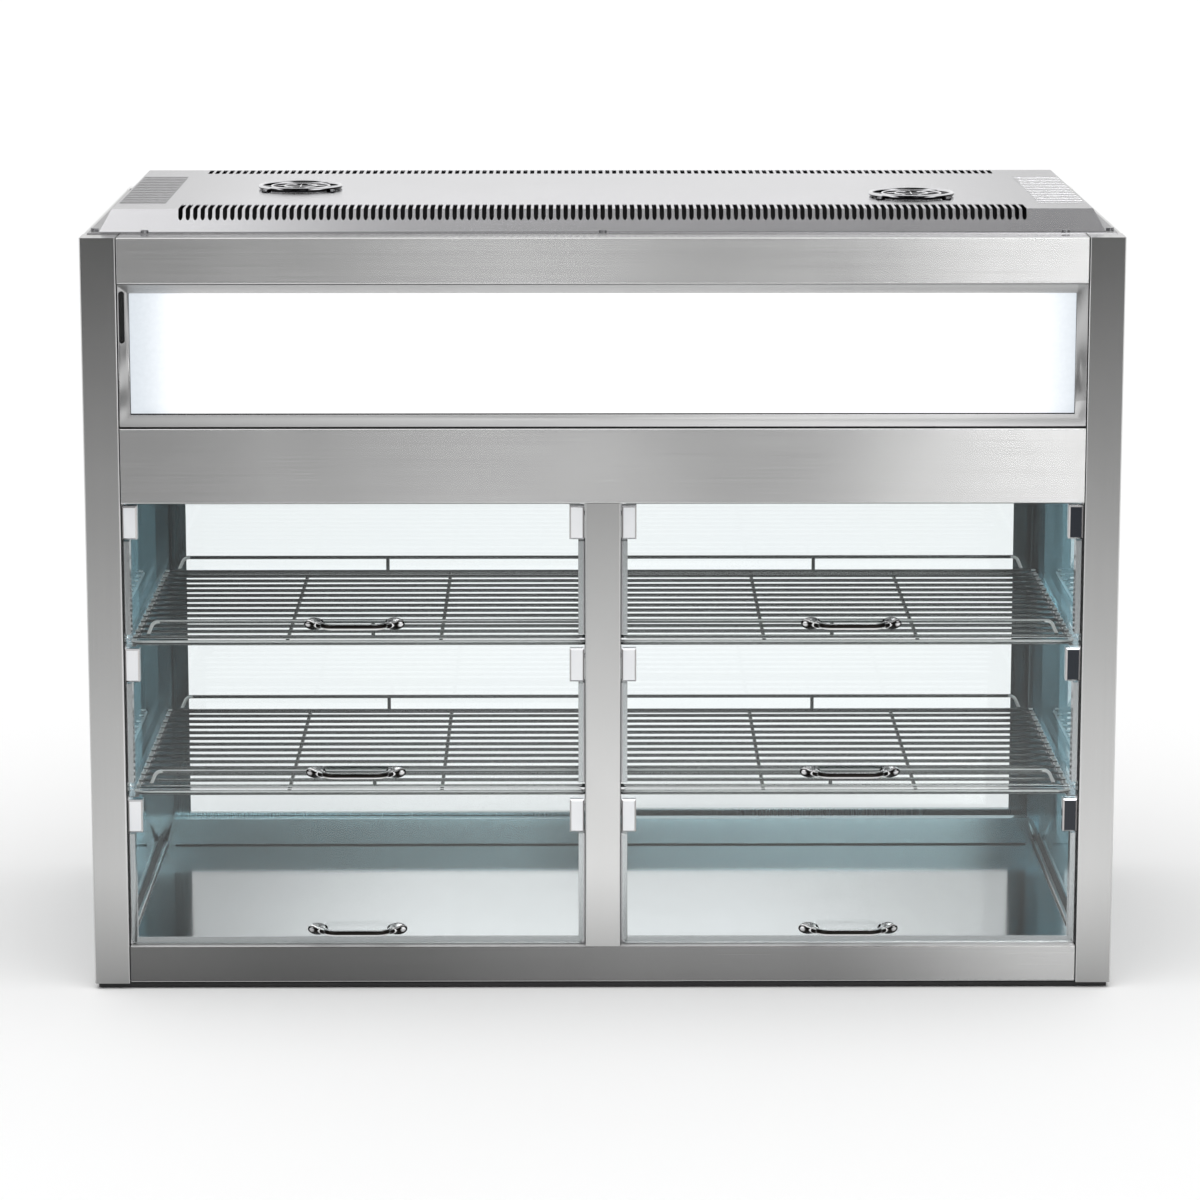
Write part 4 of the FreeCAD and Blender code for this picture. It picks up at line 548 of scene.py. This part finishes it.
# ---------------------------------------------------------------- dark strips as painted shade: in the seams of the front frame, in the gap under the bottom rail and behind the cover's front slot row
def strips(name, boxes, edge):
    """Extruded strips with bevelled long edges, joined in one mesh."""
    bm = bmesh.new()
    for (x0, x1), (y0, y1), (z0, z1) in boxes:
        size = Vector((x1 - x0, y1 - y0, z1 - z0))
        made = bmesh.ops.create_cube(bm, size=1.0, matrix=Matrix.Translation(((x0 + x1) / 2, (y0 + y1) / 2, (z0 + z1) / 2)) @ Matrix.Diagonal((*size, 1.0)))
        es = list({e for v in made["verts"] for e in v.link_edges})
        bmesh.ops.bevel(bm, geom=es, offset=edge, segments=2, affect="EDGES", profile=0.5)
    me = bpy.data.meshes.new(name)
    bm.to_mesh(me)
    bm.free()
    for f in me.polygons:
        f.use_smooth = True
    o = bpy.data.objects.new(name, me)
    SCENE.collection.objects.link(o)
    return o


SEAMS = []
for sx in (-1, 1):
    a, b = sorted((sx * 0.6510, sx * 0.6518))
    for z0, z1, yb in ((0.012, 0.0595, -0.338), (0.6795, 0.7805, -0.3445), (0.9775, 1.0385, -0.338)):
        SEAMS.append(((a, b), (-0.3474, yb), (z0, z1)))
    SEAMS.append(((a, b), (-0.3470, -0.3395), (0.0615, 0.6785)))
    a, b = sorted((sx * 0.0242, sx * 0.0250))
    SEAMS.append(((a, b), (-0.3470, -0.3395), (0.0615, 0.6785)))
SEAMS.append(((-0.6405, 0.6405), (0.2384, 0.2398), (0.0562, 0.0578)))
SEAMS.append(((-0.6505, 0.6505), (-0.3470, -0.3335), (0.9761, 0.9769)))
SEAMS.append(((-0.6505, 0.6505), (-0.3445, -0.3335), (0.7812, 0.7834)))
seam_shade = strips("seam_shade_strips", SEAMS, 0.00012)
base_shade = strips("base_shade_strip", [((-0.6955, 0.6955), (-0.3440, -0.3370), (0.0012, 0.0078))], 0.0006)
vent_shade = strips("vent_shade_sheet", [((-0.600, 0.600), (-0.2055, -0.2035), (1.0415, 1.0680))], 0.0004)
# the dark strips take the black rubber colour to stand for shade
for piece in (seam_shade, base_shade, vent_shade):
    piece.data.materials.append(M["rubber"])
    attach(piece, "cabinet")

# ---------------------------------------------------------------- stage, light, camera
me = bpy.data.meshes.new("floor")
bm = bmesh.new()
for p in ((-40, -40), (40, -40), (40, 60), (-40, 60)):
    bm.verts.new((p[0], p[1], 0.0))
bm.faces.new(bm.verts)
bm.to_mesh(me)
bm.free()
floor = bpy.data.objects.new("floor", me)
SCENE.collection.objects.link(floor)


def floor_material():
    """Pale sweep. Mirrored in the steel it carries painted light: lit near the case and falling away towards the front
    of the set, brightest just left of the middle, with a painted shadow towards the case front.
    """
    k = Mat("floor_pale")
    k.set(Roughness=0.9, Specular_IOR_Level=0.1)
    x, y, z = k.xyz()
    reach = k.math("POWER", 1.25, k.math("MINIMUM", k.math("ADD", y, 0.35), 0.0))
    painted_light_across = k.math("MULTIPLY", k.span(x, -1.0, -0.05, 0.80, 1.28, True), k.span(x, 0.05, 1.0, 1.0, 0.80, True))
    # painted shadow: the mirrored floor darkens to 0.46 at the case front
    foot = k.span(y, -1.0, -0.36, 1.0, 0.46)
    tone = k.math("MULTIPLY", k.math("MULTIPLY", reach, painted_light_across), k.math("MULTIPLY", foot, 1.02))
    pale = k.noise(k.coords((0.7, 0.7, 1)), 1.0, 2.0, 0.5)
    lp = k.node("ShaderNodeLightPath")
    seen = k.ramp(pale, (0.3, (0.90, 0.90, 0.90)), (0.7, (0.915, 0.915, 0.915)))
    grey = k.node("ShaderNodeCombineColor")
    for i in range(3):
        k.link(tone, grey.inputs[i])
    mirrored = k.math("MINIMUM", lp.outputs["Glossy Depth"], 1.0)
    k.to(k.mixc(mirrored, seen, grey.outputs[0]), "Base Color")
    return k.m


me.materials.append(floor_material())

d = bpy.data.lights.new("top_soft", "SUN")
d.energy = 1.42
d.angle = math.radians(70)
top = bpy.data.objects.new("top_soft", d)
SCENE.collection.objects.link(top)
top.rotation_euler = (math.radians(15), 0.0, 0.0)   # from above, a little from the front
top.visible_glossy = False


def world():
    """Even soft light; in the steel a set with a dark front, a bright back, strip boxes at both sides and a card low in front."""
    w = bpy.data.worlds.new("studio")
    SCENE.world = w
    w.use_nodes = True
    w.cycles.sampling_method = "NONE"
    nt = w.node_tree
    bg = nt.nodes["Background"]
    tc = nt.nodes.new("ShaderNodeTexCoord")
    sp = nt.nodes.new("ShaderNodeSeparateXYZ")
    lp = nt.nodes.new("ShaderNodeLightPath")
    nt.links.new(tc.outputs["Generated"], sp.inputs[0])
    dx, dy, dz = sp.outputs

    def span(v, a, b, lo, hi):
        n = nt.nodes.new("ShaderNodeMapRange")
        n.interpolation_type = "SMOOTHSTEP"
        for i, x in enumerate((a, b, lo, hi)):
            n.inputs[i + 1].default_value = x
        nt.links.new(v, n.inputs[0])
        return n.outputs[0]

    def op(kind, a, b=None):
        n = nt.nodes.new("ShaderNodeMath")
        n.operation = kind
        for i, v in enumerate((a, b)):
            if v is None:
                continue
            if isinstance(v, (int, float)):
                n.inputs[i].default_value = v
            else:
                nt.links.new(v, n.inputs[i])
        return n.outputs[0]

    def total(*vs):
        t = vs[0]
        for v in vs[1:]:
            t = op("ADD", t, v)
        return t

    def product(*vs):
        t = vs[0]
        for v in vs[1:]:
            t = op("MULTIPLY", t, v)
        return t

    ax = op("ABSOLUTE", dx)
    # card low in front: a strip left of the middle and a rise to the right
    card = total(span(dx, -0.085, -0.025, 0.35, 2.2), span(dx, -0.012, 0.026, 0.0, -1.0), span(dx, 0.040, 0.105, 0.0, 3.8))
    card = product(card, span(dz, 0.02, 0.06, 0.0, 1.0), span(dz, 0.26, 0.36, 1.0, 0.0), span(ax, 0.24, 0.34, 1.0, 0.0))
    # high box in front: bright on the left, calm on the right; a second one overhead that grows to the right
    high = product(total(span(dx, -0.085, -0.045, 0.72, 0.0), span(dx, -0.05, 0.10, 0.54, 0.34)), span(dz, 0.58, 0.68, 0.0, 1.0), span(dz, 0.80, 0.86, 1.0, 0.0))
    over = product(span(dx, -0.10, 0.07, 0.50, 1.85), span(dz, 0.86, 0.90, 0.0, 1.0), span(dz, 0.975, 0.99, 1.0, 0.0))
    # strip boxes at both sides
    strip = product(span(ax, 0.32, 0.42, 0.0, 1.1), span(ax, 0.82, 0.92, 1.0, 0.0), span(dz, 0.55, 0.7, 1.0, 0.0))
    front = total(card, high, over, strip, 0.05)
    back = span(dy, -0.05, 0.12, 0.0, 1.0)
    lid = span(dz, 0.88, 0.95, 1.0, 0.0)
    pattern = op("ADD", op("MULTIPLY", front, op("SUBTRACT", 1.0, back)), product(back, lid, 0.95))
    mirrored = op("MINIMUM", lp.outputs["Glossy Depth"], 1.0)
    soft = op("MINIMUM", lp.outputs["Diffuse Depth"], 1.0)
    mirrored = op("MULTIPLY", mirrored, op("SUBTRACT", 1.0, soft))
    level = op("ADD", op("MULTIPLY", mirrored, pattern), op("MULTIPLY", op("SUBTRACT", 1.0, mirrored), op("SUBTRACT", 1.0, op("MULTIPLY", soft, 0.3))))
    grey = nt.nodes.new("ShaderNodeCombineColor")
    for i in range(3):
        nt.links.new(level, grey.inputs[i])
    nt.links.new(grey.outputs[0], bg.inputs["Color"])
    bg.inputs["Strength"].default_value = 1.0


world()

cam_data = bpy.data.cameras.new("camera")
cam = bpy.data.objects.new("camera", cam_data)
SCENE.collection.objects.link(cam)
cam_data.sensor_width = 36.0
cam_data.lens = 132.9
cam_data.clip_end = 200.0
cam.location = (-0.037, -6.250, 1.692)
cam.rotation_euler = (math.radians(90 - 10.99), 0.0, math.radians(-0.32))
SCENE.camera = cam
SCENE.view_settings.view_transform = "Standard"
SCENE.view_settings.look = "None"
